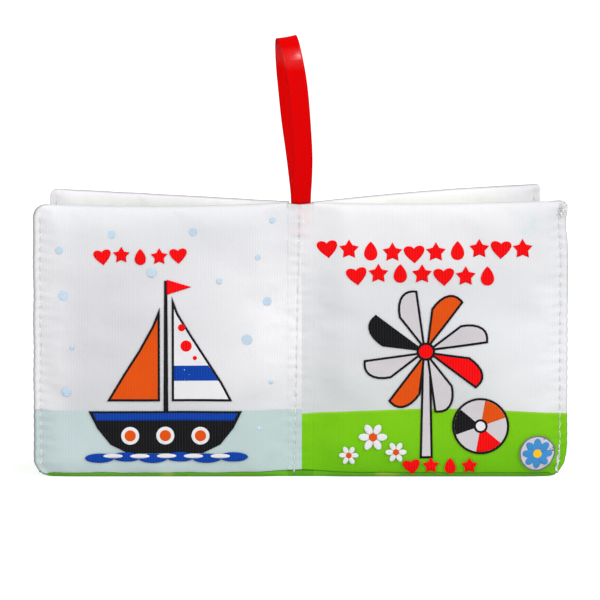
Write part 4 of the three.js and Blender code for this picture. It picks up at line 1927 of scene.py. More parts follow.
@dataclass
class PrintedPage:
    """The picture on one page: films of ink on the cloth, laid out as the reader sees the page.

    Attributes:
        panel: the cloth panel it is printed on.
        name: its name.
    """

    panel: ClothPanel
    name: str

    LAYER_STEP = 0.012
    LIFT = 0.04
    GRID = 1.1
    LINE = 1.05
    FILM = 0.02

    def __post_init__(self) -> None:
        """Starts with a bare page."""
        self.bm = bmesh.new()
        self.inks: list[Ink] = []
        self.layer = 0

    def slot_of(self, ink: Ink) -> int:
        """The number of an ink's material slot, which is added where it is new."""
        if ink not in self.inks:
            self.inks.append(ink)
        return self.inks.index(ink)

    def shape(self, ink: Ink, outline: Outline, line: Ink | None = None) -> None:
        """Prints a filled shape over what is there.

        Args:
            ink: its ink.
            outline: its corners, in millimetres across the page and up it, as the reader sees it.
            line: the ink of its drawn outline, if it has one.
        """
        self.layer += 1
        depth = self.layer * self.LAYER_STEP
        made = bmesh.ops.create_circle(self.bm, cap_ends=True, segments=len(outline), radius=1.0)
        for vert, (across, up) in zip(made["verts"], outline):
            vert.co = (across, up, depth)
        face = made["verts"][0].link_faces[0]
        face.normal_update()
        if face.normal.z < 0:
            face.normal_flip()
        face.material_index = self.slot_of(ink)
        if line is not None:
            rim = bmesh.ops.inset_region(
                self.bm, faces=[face], thickness=self.LINE, use_even_offset=True, use_boundary=True
            )
            for edge_face in rim["faces"]:
                edge_face.material_index = self.slot_of(line)

    def curve(
        self, ink: Ink, middle: Pair, count: int, corner: Callable[[float], Pair], turn: float = 0.0,
        line: Ink | None = None,
    ) -> None:
        """Prints a shape that is given by its corners about its middle.

        Args:
            ink: its ink.
            middle: its middle, in millimetres across the page and up it.
            count: how many corners it has.
            corner: gives the corner for an angle, from the middle.
            turn: how far the shape is turned, in degrees.
            line: the ink of its drawn outline, if it has one.
        """
        cos, sin = math.cos(math.radians(turn)), math.sin(math.radians(turn))
        corners = [corner(2 * math.pi * i / count) for i in range(count)]
        outline = [(middle[0] + x * cos - y * sin, middle[1] + x * sin + y * cos) for x, y in corners]
        self.shape(ink, outline, line)

    def disc(self, ink: Ink, across: float, up: float, radius: float, line: Ink | None = None) -> None:
        """Prints a round spot."""
        self.oval(ink, across, up, radius, radius, 0.0, line)

    def oval(
        self, ink: Ink, across: float, up: float, half_width: float, half_height: float,
        turn: float = 0.0, line: Ink | None = None,
    ) -> None:
        """Prints an oval about a place, turned by some degrees."""

        def corner(angle: float) -> Pair:
            """Its corner for an angle."""
            return half_width * math.cos(angle), half_height * math.sin(angle)

        count = 40 if max(half_width, half_height) > 3 else 18
        self.curve(ink, (across, up), count, corner, turn, line)

    def star(self, ink: Ink, across: float, up: float, radius: float) -> None:
        """Prints a plump star of five points."""

        def corner(angle: float) -> Pair:
            """Its corner for an angle."""
            reach = radius * (0.775 + 0.225 * math.cos(5 * angle))
            return reach * math.cos(math.pi / 2 + angle), reach * math.sin(math.pi / 2 + angle)

        self.curve(ink, (across, up), 10, corner)

    def heart(self, ink: Ink, across: float, up: float, size: float, turn: float) -> None:
        """Prints a plump heart, turned by some degrees."""

        def corner(angle: float) -> Pair:
            """Its corner for an angle."""
            rise = 0.92 * math.cos(angle) - 0.34 * math.cos(2 * angle) - 0.13 * math.cos(3 * angle)
            return size * 1.08 * math.sin(angle) ** 3, size * rise

        self.curve(ink, (across, up), 30, corner, turn)

    def drop(self, ink: Ink, across: float, up: float, size: float) -> None:
        """Prints a plump drop."""

        def corner(angle: float) -> Pair:
            """Its corner for an angle."""
            return size * 0.86 * math.sin(angle) * math.sin(angle / 2) ** 0.8, size * math.cos(angle)

        self.curve(ink, (across, up), 26, corner)

    def row(self, ink: Ink, places: Sequence[Pair], size: float) -> None:
        """Prints a row of plump shapes, each unlike its neighbour."""
        for i, (across, up) in enumerate(places):
            if i % 4 == 0:
                self.heart(ink, across, up, size, 8 - 5 * (i % 3))
            elif i % 4 == 2:
                self.drop(ink, across, up, size)
            else:
                self.star(ink, across, up, size * 1.08)

    def petals(
        self, ink: Ink, across: float, up: float, reach: float, count: int, line: Ink | None = None
    ) -> None:
        """Prints a ring of petals."""
        middle = reach * 0.62
        for i in range(count):
            turn = 360 * i / count
            a = math.radians(turn)
            petal = (across + middle * math.cos(a), up + middle * math.sin(a))
            self.oval(ink, *petal, reach * 0.4, reach * 0.26, turn, line)

    def to_leaf(self, across: float) -> float:
        """Millimetres from the hinge line for a place across the page, as the reader sees it."""
        form = self.panel.form
        from_spine = form.hand.value * self.panel.side.value < 0
        return across - form.hinge_x if from_spine else form.width - across

    def build(self, materials: Materials) -> Object:
        """Lays the inks on the cloth.

        Args:
            materials: the book's materials.

        Returns:
            The new piece.
        """
        bm = self.bm
        form = self.panel.form
        side = self.panel.side
        bmesh.ops.triangulate(bm, faces=[face for face in bm.faces if len(face.verts) > 4])
        for axis in (0, 1):
            reach = [vert.co[axis] for vert in bm.verts]
            line = math.floor(min(reach) / self.GRID) * self.GRID + self.GRID
            normal = Vector((1, 0, 0)) if axis == 0 else Vector((0, 1, 0))
            while line < max(reach):
                cut = [*bm.verts, *bm.edges, *bm.faces]
                bmesh.ops.bisect_plane(bm, geom=cut, dist=1e-5, plane_co=normal * line, plane_no=normal)
                line += self.GRID
        places = {}
        for vert in bm.verts:
            across, z, depth = vert.co
            u = self.to_leaf(across)
            out = form.face(side, u, z) + self.LIFT + depth
            vert.co = form.placed(u, side.value * out, z)
            places[vert] = form.on_panel(u, z)
        set_places(bm, places)
        bm.normal_update()
        piece = new_piece(self.name, bm, [materials.inks[ink] for ink in self.inks])
        thicken(piece, self.FILM)
        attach(piece, form.body)
        return piece


@dataclass
class SpinePly:
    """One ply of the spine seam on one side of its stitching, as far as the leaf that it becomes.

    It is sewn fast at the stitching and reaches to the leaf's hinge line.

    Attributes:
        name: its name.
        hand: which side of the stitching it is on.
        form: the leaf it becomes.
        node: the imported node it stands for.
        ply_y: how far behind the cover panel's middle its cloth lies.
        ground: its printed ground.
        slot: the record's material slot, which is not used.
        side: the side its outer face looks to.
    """

    name: str
    hand: Hand
    form: LeafForm
    node: str
    ply_y: float
    ground: Ground
    slot: str
    side: Side

    COLUMNS = 19
    ROW_STEP = 0.55
    NEAR_ENDS = (0.0, 0.12, 0.3, 0.55)
    COVER_RISEN_AT_SEAM = 0.62
    HIDDEN_RISE_START = 0.8
    BEND_INSIDE_RIBBON = 0.9
    SHORT_OF_HINGE = 0.1
    # How much painted shade the needle holes of the spine's stitching take.
    SEAM_HOLE_SHADE = 0.07

    @property
    def carrier(self) -> str:
        """The body that carries its leaf's hinge line: the inner leaf on its side."""
        return f"inner_{self.hand.name.lower()}"

    def foot_roll(self, x: float) -> float:
        """How far up the front ply the back ply's roll comes: less right beside the stitching."""
        u = self.hand.value * x - self.form.hinge_x
        return self.form.foot_roll(u) * (0.35 + 0.65 * smooth(abs(x - SPINE_SEAM_FOOT_X) / 0.6))

    def point(self, share: float, z: float) -> tuple[Vector, Pair, float]:
        """Where a point of its outer face lies.

        From the stitching to the hinge line its top rises to the leaf's. The cover panel's rises all the way,
        and the hidden plies' only at the end, so that they keep clear of the ribbon's root.

        Args:
            share: nought at the stitching and one at the hinge line.
            z: its height as a share of the spine's. Below nought it is a share of the roll under the foot.

        Returns:
            The point in metres, its place on the cloth, and how much painted shade it takes in a seam, a
            needle hole or the roll under the foot.
        """
        seam_x = spine_seam_x(z * SPINE_HEIGHT)
        hinge_x = self.hand.value * (self.form.hinge_x - self.SHORT_OF_HINGE)
        x = seam_x + (hinge_x - seam_x) * share
        leaf_top = self.form.height + self.form.tops[0] + TOP_FULLNESS
        risen = smooth((share - self.HIDDEN_RISE_START) / (1 - self.HIDDEN_RISE_START))
        if self.ply_y == COVER_PLY_Y:
            risen = self.COVER_RISEN_AT_SEAM + (1 - self.COVER_RISEN_AT_SEAM) * smooth(share)
        top = SPINE_HEIGHT + (leaf_top - SPINE_HEIGHT) * risen
        rolled = self.foot_roll(x)
        if z < 0:
            around = -z * rolled
            tuck = CLOTH * (1 - roll(rolled - around, FOOT_TUCK_REACH))
            # Painted shade: the roll under the foot darker all over, and darkest at its seam with the front
            # face.
            deep = 0.45 + 0.55 * bell((rolled - around) / SEAM_SHADE_REACH)
            y = COVER_PLY_Y - CLOTH / 2 + tuck - 0.15 * math.sin(math.pi * min(-z, 1.0))
            return Vector((x, y, around)) * MM, (x * MM, -around * MM), deep
        height = z * top
        from_seam = abs(x - seam_x)
        pitch = stitch_pitch(SPINE_STITCH_END, SPINE_HEIGHT - SPINE_STITCH_END)
        from_hole = math.hypot(from_seam, math.remainder(height - SPINE_STITCH_END, pitch))
        hole = bell(from_hole / NEEDLE_HOLE_RADIUS)
        is_outermost = self.ply_y in (COVER_PLY_Y, PAGE_4_5_PLY_Y)
        groove = SPINE_GROOVE * bell(from_hole / 1.1) if is_outermost else 0.0
        pucker = spine_pucker(x, height, self.side, self.form.hinge_y) * (1.0 if is_outermost else 0.3)
        from_end = min(height, top - height)
        rim = 0.3 * (1 - roll(from_end, 0.5))
        out = CLOTH / 2 - groove + pucker - rim
        if self.ply_y == COVER_PLY_Y:
            out -= FRONT_FOOT_TUCK * (1 - roll(height, FOOT_TUCK_REACH))
            height += rolled * (1 - smooth(height / 12))
        y = self.ply_y + self.side.value * out
        # Painted shade in the needle holes and along the top and foot seams.
        deep = max(self.SEAM_HOLE_SHADE * hole, bell(from_end / SEAM_SHADE_REACH))
        return Vector((x, y, height)) * MM, (x * MM, height * MM), deep

    def build(self, materials: Materials) -> Object:
        """Makes the ply.

        Args:
            materials: the book's materials.

        Returns:
            The new piece.
        """
        columns = [column / (self.COLUMNS - 1) for column in range(self.COLUMNS)]
        lines = spread(0.0, SPINE_HEIGHT, self.NEAR_ENDS, self.NEAR_ENDS, self.ROW_STEP)
        rows = [z / SPINE_HEIGHT for z in lines]
        if self.ply_y == PAGE_2_7_PLY_Y:
            rows = [*ROLLED_ROWS, *rows]
        is_turned = self.side.value * self.hand.value > 0
        piece = make_cloth(self.name, materials.cloth[self.ground], columns, rows, self.point, is_turned)
        self.carrier
        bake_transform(piece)
        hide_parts(self.node)
        return piece


def spine_pucker(x: float, z: float, side: Side, y: float) -> float:
    """How far the cloth stands out beside the spine's stitching, between and beside its needle holes.

    Args:
        x: millimetres from the spine's middle.
        z: millimetres above the foot.
        side: which way the cloth looks.
        y: how far behind the cover panel the cloth lies, which tells the plies' puckers apart.

    Returns:
        The distance in millimetres.
    """
    seed = 31 + 3 * side.value + math.floor(y)
    from_seam = abs(x - spine_seam_x(z))
    pitch = stitch_pitch(SPINE_STITCH_END, SPINE_HEIGHT - SPINE_STITCH_END)
    phase = 2 * math.pi * (z - SPINE_STITCH_END) / pitch + 1.1 * wander(z / 15, x / 5, seed + 1)
    strength = 0.45 + 0.9 * wander(x / 5, z / 7, seed + 2)
    drawn = -SPINE_PUCKERS * math.cos(phase) * strength * bell((from_seam - 1.5) / 3.4)
    loose = SPINE_FOLDS * wander(x / 9, z / 4.6, seed + 3) * math.exp(-from_seam / 9) * smooth(from_seam / 2)
    loose += SPINE_FINE_FOLDS * wander(x / 4, z / 2.2, seed + 4) * math.exp(-from_seam / 3.5)
    return drawn + loose


def spine_seam_x(z: float) -> float:
    """How far from the spine's middle its stitching runs at a height: it leans a little to one side."""
    share = clamp01(z / SPINE_HEIGHT)
    return SPINE_SEAM_FOOT_X + (SPINE_SEAM_TOP_X - SPINE_SEAM_FOOT_X) * share


@dataclass
class RibbonLoop:
    """The red satin loop, sewn into the top of the spine seam by both its ends.

    Its route goes up the front leg, over the fold and down the back leg. Each point is its lean along X, its
    place behind the seam's middle, and its height over the root.
    """

    route: tuple[tuple[float, float, float], ...] = (
        (0.2, -0.22, 0.0),
        (0.4, -0.9, 4.5),
        (0.8, -2.5, 12.5),
        (0.9, -4.3, 23.5),
        (0.3, -5.4, 36.5),
        (-0.8, -5.9, 50.5),
        (-2.2, -5.7, 61.5),
        (-3.6, -5.0, 68.5),
        (-5.1, -3.2, 74.0),
        (-6.3, -0.2, 76.4),
        (-6.9, 3.4, 74.8),
        (-7.0, 5.6, 70.0),
        (-6.6, 6.4, 61.5),
        (-5.5, 6.3, 49.5),
        (-4.1, 5.6, 36.5),
        (-2.3, 4.3, 23.5),
        (-0.9, 2.6, 12.5),
        (0.0, 0.9, 4.5),
        (0.2, 0.22, 0.0),
    )

    ACROSS = 13
    SPAN_STEPS = 7
    SEWN_ROWS = 15
    TWIST = math.radians(8)
    FOLD_TILT = math.radians(10)
    CUP = 0.16
    SWAY = 0.16

    def centre_line(self) -> list[Vector]:
        """The ribbon's middle line, in metres."""
        root = SPINE_HEIGHT + RIBBON_ROOT_GAP
        points = [Vector((x, RIBBON_Y + y, root + z)) * MM for x, y, z in self.route]
        return smooth_line(points, self.SPAN_STEPS)

    def build(self, materials: Materials) -> Object:
        """Makes the loop.

        Args:
            materials: the book's materials.

        Returns:
            The new piece.
        """
        line = self.centre_line()
        last = len(line) - 1
        bm = bmesh.new()
        places = {}
        for vert, column, row in lay_out(bm, self.ACROSS, len(line)):
            before, after = line[max(row - 1, 0)], line[min(row + 1, last)]
            along = row / last
            away = smooth(along / 0.08) * smooth((1 - along) / 0.08)
            twist = self.TWIST * math.sin(2 * math.pi * along) * away
            tilt = self.FOLD_TILT * bell((along - 0.5) / 0.12)
            across = Vector((math.cos(twist), math.sin(twist), math.tan(tilt))).normalized()
            out = across.cross((after - before).normalized()).normalized()
            share = 2 * column / (self.ACROSS - 1) - 1
            cup = self.CUP * share * share * away + 0.1 * away * wander(share * 0.8, row / 9, 41)
            sway = self.SWAY * away * wander(row / 13, 0.0, 43)
            offset = across * (share * RIBBON_WIDTH / 2 + sway) + out * cup
            vert.co = line[row] + offset * MM
            places[vert] = (share * RIBBON_WIDTH / 2 * MM, along * RIBBON_LENGTH * MM)
        set_places(bm, places)
        piece = new_piece("ribbon_loop_satin", bm, [materials.ribbon])
        thicken(piece, RIBBON_PLY - RIBBON_CLEARANCE, 0.0)
        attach(piece, "ribbon")
        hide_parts("ribbon_loop")
        [tuple(point) for point in line]
        log.info("ribbon loop: %.1f mm along its middle", line_length(line) / MM)
        return piece

    def build_sewn_ends(self, materials: Materials) -> Object:
        """Makes the two ends that are sewn into the seam, one behind the other.

        Args:
            materials: the book's materials.

        Returns:
            The new piece.
        """
        top = SPINE_HEIGHT + RIBBON_ROOT_GAP + 0.1
        foot = SPINE_HEIGHT - RIBBON_SEWN_LENGTH
        root_x, root_y, _ = self.route[-1]
        bm = bmesh.new()
        places = {}
        for layer in (-1, 1):
            for vert, column, row in lay_out(bm, self.ACROSS, self.SEWN_ROWS):
                share = 2 * column / (self.ACROSS - 1) - 1
                z = foot + (top - foot) * row / (self.SEWN_ROWS - 1)
                across = share * RIBBON_WIDTH / 2
                vert.co = Vector((root_x + across, RIBBON_Y + layer * root_y, z)) * MM
                places[vert] = (across * MM, z * MM)
        set_places(bm, places)
        piece = new_piece("ribbon_sewn_ends_satin", bm, [materials.ribbon])
        thicken(piece, RIBBON_PLY - RIBBON_CLEARANCE, 0.0)
        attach(piece, "spine")
        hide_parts("ribbon_sewn_ends")
        return piece


@dataclass
class Leaf:
    """One padded leaf: its two cloth panels, their pictures, and the stitching of its free edge.

    Attributes:
        form: its form.
        front: its front panel.
        back: its back panel.
    """

    form: LeafForm
    front: ClothPanel
    back: ClothPanel

    TACKS = 5
    TACKS_AT_CRUMPLED_CORNER = 34

    def edge_surface(self, side: Side) -> Callable[[float], tuple[Vector, Vector]]:
        """Gives the cloth's outside along the free edge's stitching.

        Args:
            side: which face.

        Returns:
            A function from a height to a point and the way out, for Stitching.
        """
        form = self.form
        u = form.width - EDGE_STITCH_INSET
        turn = math.radians(form.angle)
        out = Vector((-form.hand.value * math.sin(turn), math.cos(turn), 0)) * side.value

        def at(z: float) -> tuple[Vector, Vector]:
            """The point and the way out at a height."""
            return form.placed(u, side.value * form.face(side, u, z), z), out

        return at

    def build(self, materials: Materials) -> list[Object]:
        """Makes the leaf's panels and stitching.

        Args:
            materials: the book's materials.

        Returns:
            The new pieces.
        """
        pieces = [self.front.build(materials), self.back.build(materials)]
        for side, thread in ((Side.FRONT, "top"), (Side.BACK, "bobbin")):
            row = Stitching(
                node=f"{self.form.name}_{thread}_thread",
                body=self.form.body,
                start=EDGE_STITCH_END,
                end=self.form.height - EDGE_STITCH_END,
                surface=self.edge_surface(side),
                seed=len(self.form.name) * 7 + side.value,
                radius=EDGE_THREAD_RADIUS,
                gap=EDGE_STITCH_GAP,
                tacks=self.TACKS_AT_CRUMPLED_CORNER if self.form.crumple else self.TACKS,
            )
            pieces.append(row.build(materials))
        return pieces


@dataclass
class FoamSheet:
    """The foam between a leaf's panels, which follows their faces from inside.

    Attributes:
        form: the leaf's form.
        hole: the middle of its round hole, along the leaf and up it, if it has one.
    """

    form: LeafForm
    hole: Pair | None = None

    STEP = 1.6
    LEAST_HALF = 0.2
    RIM_REACH = 6.0

    def about_hole(self, u: float, z: float) -> Pair:
        """Moves a place inside the hole's rim, or close to it, out to the rim."""
        if self.hole is None:
            return u, z
        across, up = u - self.hole[0], z - self.hole[1]
        distance = math.hypot(across, up)
        if not HOLE_RADIUS - self.STEP < distance < HOLE_RADIUS + self.STEP / 2:
            return u, z
        return self.hole[0] + across * HOLE_RADIUS / distance, self.hole[1] + up * HOLE_RADIUS / distance

    def is_in_hole(self, places: Sequence[Pair]) -> bool:
        """Whether all of a face's corners lie in the hole or on its rim."""
        if self.hole is None:
            return False
        return all(math.dist(place, self.hole) < HOLE_RADIUS + 0.01 for place in places)

    def build(self, materials: Materials) -> Object:
        """Makes the foam sheet.

        Args:
            materials: the book's materials.

        Returns:
            The new piece.
        """
        form = self.form
        start, end = FOAM_START, form.width - PAD_INSET - FOAM_EDGE_GAP
        columns = round((end - start) / self.STEP) + 1
        rows = round((form.height - 2 * FOAM_END_GAP) / self.STEP) + 1
        bm = bmesh.new()
        for side in Side:
            flat = {}
            made = lay_out(bm, columns, rows)
            for vert, column, row in made:
                u = start + (end - start) * column / (columns - 1)
                z = FOAM_END_GAP + (form.height - 2 * FOAM_END_GAP) * row / (rows - 1)
                flat[vert] = self.about_hole(u, z)
                u, z = flat[vert]
                out = max(form.face(side, u, z) - CLOTH - FOAM_GAP, self.LEAST_HALF)
                vert.co = form.placed(u, side.value * out, z)
            faces = {face for vert in flat for face in vert.link_faces}
            cut = [face for face in faces if self.is_in_hole([flat[vert] for vert in face.verts])]
            bmesh.ops.delete(bm, geom=cut, context="FACES")
        rims = [edge for edge in bm.edges if edge.is_boundary]
        bmesh.ops.bridge_loops(bm, edges=[edge for edge in rims if not self.is_rim_of_hole(edge)])
        if self.hole is not None:
            bmesh.ops.bridge_loops(bm, edges=[edge for edge in rims if self.is_rim_of_hole(edge)])
        bmesh.ops.recalc_face_normals(bm, faces=bm.faces)
        piece = new_piece(f"{form.name}_foam_sheet", bm, [materials.foam])
        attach(piece, form.body)
        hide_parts(f"{form.name}_foam")
        return piece

    def is_rim_of_hole(self, edge: BMEdge) -> bool:
        """Whether an edge belongs to the hole and not to the sheet's outline."""
        if self.hole is None:
            return False
        middle = (edge.verts[0].co + edge.verts[1].co) / 2
        centre = self.form.placed(self.hole[0], 0.0, self.hole[1])
        return (middle - centre).length < (HOLE_RADIUS + self.RIM_REACH) * MM


class Pictures:
    """The generic pictures on the eight pages, as the reader sees each page."""

    def __init__(self, leaves: dict[str, Leaf]) -> None:
        """Takes the leaves, by name, that they are printed on."""
        self.leaves = leaves

    @staticmethod
    def bare_page(panel: ClothPanel) -> PrintedPage:
        """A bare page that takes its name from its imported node."""
        return PrintedPage(panel, f"{panel.node}_print")

    def boat(self) -> PrintedPage:
        """The back cover: a toy sailing boat on an icy sea, under falling snow."""
        page = PrintedPage(self.leaves["back_cover"].front, "back_cover_print")
        chance = random.Random(11)
        spots = [(14, 84), (36, 112), (74, 113), (101, 103), (108, 80), (99, 62), (17, 60)]
        spots += [(110, 44), (104, 24), (54, 95), (12, 104), (84, 91), (13, 38), (108, 118)]
        for across, up in spots:
            flake = (across + chance.uniform(-2, 2), up + chance.uniform(-2, 2))
            page.disc(Ink.SNOW, *flake, chance.uniform(0.9, 2.5))
        page.row(Ink.RED, [(31.6 + 8.6 * i, 102.2 + 0.5 * math.sin(i * 1.9)) for i in range(5)], 3.7)
        page.shape(Ink.BLACK, [(59.2, 27), (61.4, 27), (61.0, 91), (59.6, 91)])
        page.shape(Ink.RED, [(60.8, 91.5), (72, 88.2), (60.8, 84.6)])
        main_sail = [(63, 84), (66, 76), (72, 66), (79, 55), (86, 44), (90.5, 35.5), (63, 35.5)]
        page.shape(Ink.WHITE, main_sail, Ink.BLACK)
        page.shape(Ink.BLUE, [(64, 52), (79.6, 52), (84.2, 45), (64, 45)])
        page.disc(Ink.RED, 69.5, 61, 2.6)
        page.disc(Ink.RED, 67.5, 69.5, 1.7)
        page.disc(Ink.RED, 73.5, 55.5, 1.0)
        jib = [(57.6, 79), (54, 70), (48, 59), (41, 48), (33.5, 35.5), (57.6, 35.5)]
        page.shape(Ink.ORANGE, jib, Ink.BLACK)
        hull = [(25, 31), (95, 31), (91, 23), (85, 15.5), (77, 11.5), (43, 11.5), (35, 15.5), (29, 23)]
        page.shape(Ink.BLACK, hull)
        page.shape(Ink.BLUE, [(27, 30), (93, 30), (91.3, 26.6), (28.7, 26.6)])
        for across in (44, 60, 76):
            page.disc(Ink.WHITE, across, 19.6, 4.1)
            page.disc(Ink.ORANGE, across, 19.6, 2.6)
        for i in range(6):
            page.oval(Ink.BLUE, 30.0 + 12.2 * i, 9.2 + 0.6 * (i % 2), 6.6, 2.2)
        for i in range(5):
            page.oval(Ink.WHITE, 36.2 + 12.2 * i, 10.2, 4.4, 1.0)
        return page

    def pinwheel(self) -> PrintedPage:
        """The front cover: a toy pinwheel and a ball on a green hill, under a garland."""
        page = PrintedPage(self.leaves["front_cover"].front, "front_cover_print")
        page.row(Ink.RED, [(12.2 + 9.85 * i, 105.2 + 0.9 * math.cos(i * 0.8)) for i in range(10)], 4.4)
        page.row(Ink.RED, [(25.5 + 9.9 * i, 94.0 + 0.8 * math.sin(i * 0.9)) for i in range(7)], 4.4)
        page.shape(Ink.PALE_GREY, [(54.3, 9), (60.3, 9), (59.3, 58), (55.3, 58)], Ink.BLACK)
        centre = (57.0, 58.5)
        backs = (Ink.ORANGE, Ink.BLACK, Ink.ORANGE, Ink.RED)
        inks = [ink for back in backs for ink in (Ink.PALE_GREY, back)]
        for i, ink in enumerate(inks):
            page.shape(ink, self.blade(centre, 28.5, 360 * i / len(inks) + 8), Ink.BLACK)
        page.disc(Ink.RED, *centre, 4.2, Ink.BLACK)
        ball = (82.0, 24.0)
        page.disc(Ink.PALE_GREY, *ball, 13.0, Ink.BLACK)
        for start, ink in ((20, Ink.ORANGE), (140, Ink.BLACK), (260, Ink.RED)):
            page.shape(ink, self.stripe(ball, 11.9, start))
        page.disc(Ink.WHITE, *ball, 3.2, Ink.BLACK)
        for across, up, size in ((33, 19, 6.4), (43.5, 12, 4.8), (22, 10.5, 4.4)):
            page.petals(Ink.WHITE, across, up, size, 6)
            page.disc(Ink.ORANGE, across, up, size * 0.3)
        page.row(Ink.RED, [(50.6 + 8.8 * i, 5.6) for i in range(4)], 3.7)
        page.disc(Ink.STEEL, 108.0, 11.4, 8.3)
        page.disc(Ink.PALE_GREY, 108.0, 11.4, 7.6)
        page.petals(Ink.SKY, 108.0, 11.4, 6.8, 8)
        page.disc(Ink.YELLOW, 108.0, 11.4, 2.0)
        return page

    @staticmethod
    def fan(
        centre: Pair, start: float, width: float, steps: int, reach: Callable[[float], float]
    ) -> list[Pair]:
        """The outline of a shape that opens from one point.

        Args:
            centre: the point.
            start: the direction in which it begins, in degrees.
            width: how far it opens, in degrees.
            steps: how many stretches its rim has.
            reach: gives how far the rim is from the point for a share of the way along it.

        Returns:
            Its corners.
        """
        outline = [centre]
        for i in range(steps + 1):
            a = math.radians(start + width * i / steps)
            r = reach(i / steps)
            outline.append((centre[0] + r * math.cos(a), centre[1] + r * math.sin(a)))
        return outline

    def blade(self, centre: Pair, reach: float, turn: float) -> list[Pair]:
        """The outline of one folded blade of the pinwheel."""
        return self.fan(centre, turn, 30, 8, lambda t: reach * (1 - 0.3 * t + 0.14 * math.sin(math.pi * t)))

    def stripe(self, centre: Pair, radius: float, start: float) -> list[Pair]:
        """The outline of a ball's stripe, which widens from its middle to its rim."""
        return self.fan(centre, start, 60, 12, lambda _: radius)

    def flower(self, leaf: str, ink: Ink) -> PrintedPage:
        """A green page behind a leaf: one big flower with two leaves."""
        page = self.bare_page(self.leaves[leaf].back)
        page.shape(Ink.LEAF, [(58.6, 12), (61.4, 12), (61.0, 62), (59.0, 62)])
        page.oval(Ink.LEAF, 49, 30, 11, 4.6, -28, Ink.BLACK)
        page.oval(Ink.LEAF, 71, 38, 11, 4.6, 28, Ink.BLACK)
        page.petals(ink, 60, 72, 30, 8, Ink.BLACK)
        page.disc(Ink.YELLOW, 60, 72, 9.5, Ink.BLACK)
        return page

    def fish(self) -> PrintedPage:
        """A pale page: one big fish among bubbles."""
        page = self.bare_page(self.leaves["inner_left"].front)
        page.shape(Ink.ORANGE, [(82, 60), (102, 78), (98, 60), (102, 42)], Ink.BLACK)
        page.oval(Ink.ORANGE, 58, 60, 30, 20, 0, Ink.BLACK)
        page.oval(Ink.RED, 62, 60, 3.2, 14)
        page.oval(Ink.RED, 73, 60, 2.6, 11)
        page.disc(Ink.WHITE, 41, 66, 4.6, Ink.BLACK)
        page.disc(Ink.BLACK, 40, 66, 2.0)
        for across, up, size in ((22, 84, 4.0), (29, 97, 2.6), (17, 72, 1.8)):
            page.disc(Ink.SNOW, across, up, size)
        return page

    def apple(self) -> PrintedPage:
        """A pale page: one big apple with a leaf."""
        page = self.bare_page(self.leaves["inner_right"].front)
        page.shape(Ink.BLACK, [(59, 78), (61.4, 78), (64, 95), (61.2, 96)])
        page.oval(Ink.LEAF, 74, 92, 11, 5, 24, Ink.BLACK)
        page.oval(Ink.RED, 48, 56, 21, 26, 8)
        page.oval(Ink.RED, 72, 56, 21, 26, -8)
        page.oval(Ink.WHITE, 39, 66, 3.4, 8, -18)
        return page

    def ball(self, leaf: str) -> PrintedPage:
        """A green page behind a leaf: one big ball with stripes."""
        page = self.bare_page(self.leaves[leaf].back)
        page.disc(Ink.WHITE, 60, 60, 32, Ink.BLACK)
        for start, ink in ((10, Ink.RED), (130, Ink.BLUE), (250, Ink.ORANGE)):
            page.shape(ink, self.stripe((60, 60), 31.2, start))
        page.disc(Ink.WHITE, 60, 60, 6.5, Ink.BLACK)
        return page

    def all_pages(self) -> list[PrintedPage]:
        """Every page's picture."""
        return [
            self.boat(),
            self.pinwheel(),
            self.flower("back_cover", Ink.RED),
            self.ball("front_cover"),
            self.fish(),
            self.apple(),
            self.ball("inner_left"),
            self.flower("inner_right", Ink.ORANGE),
        ]


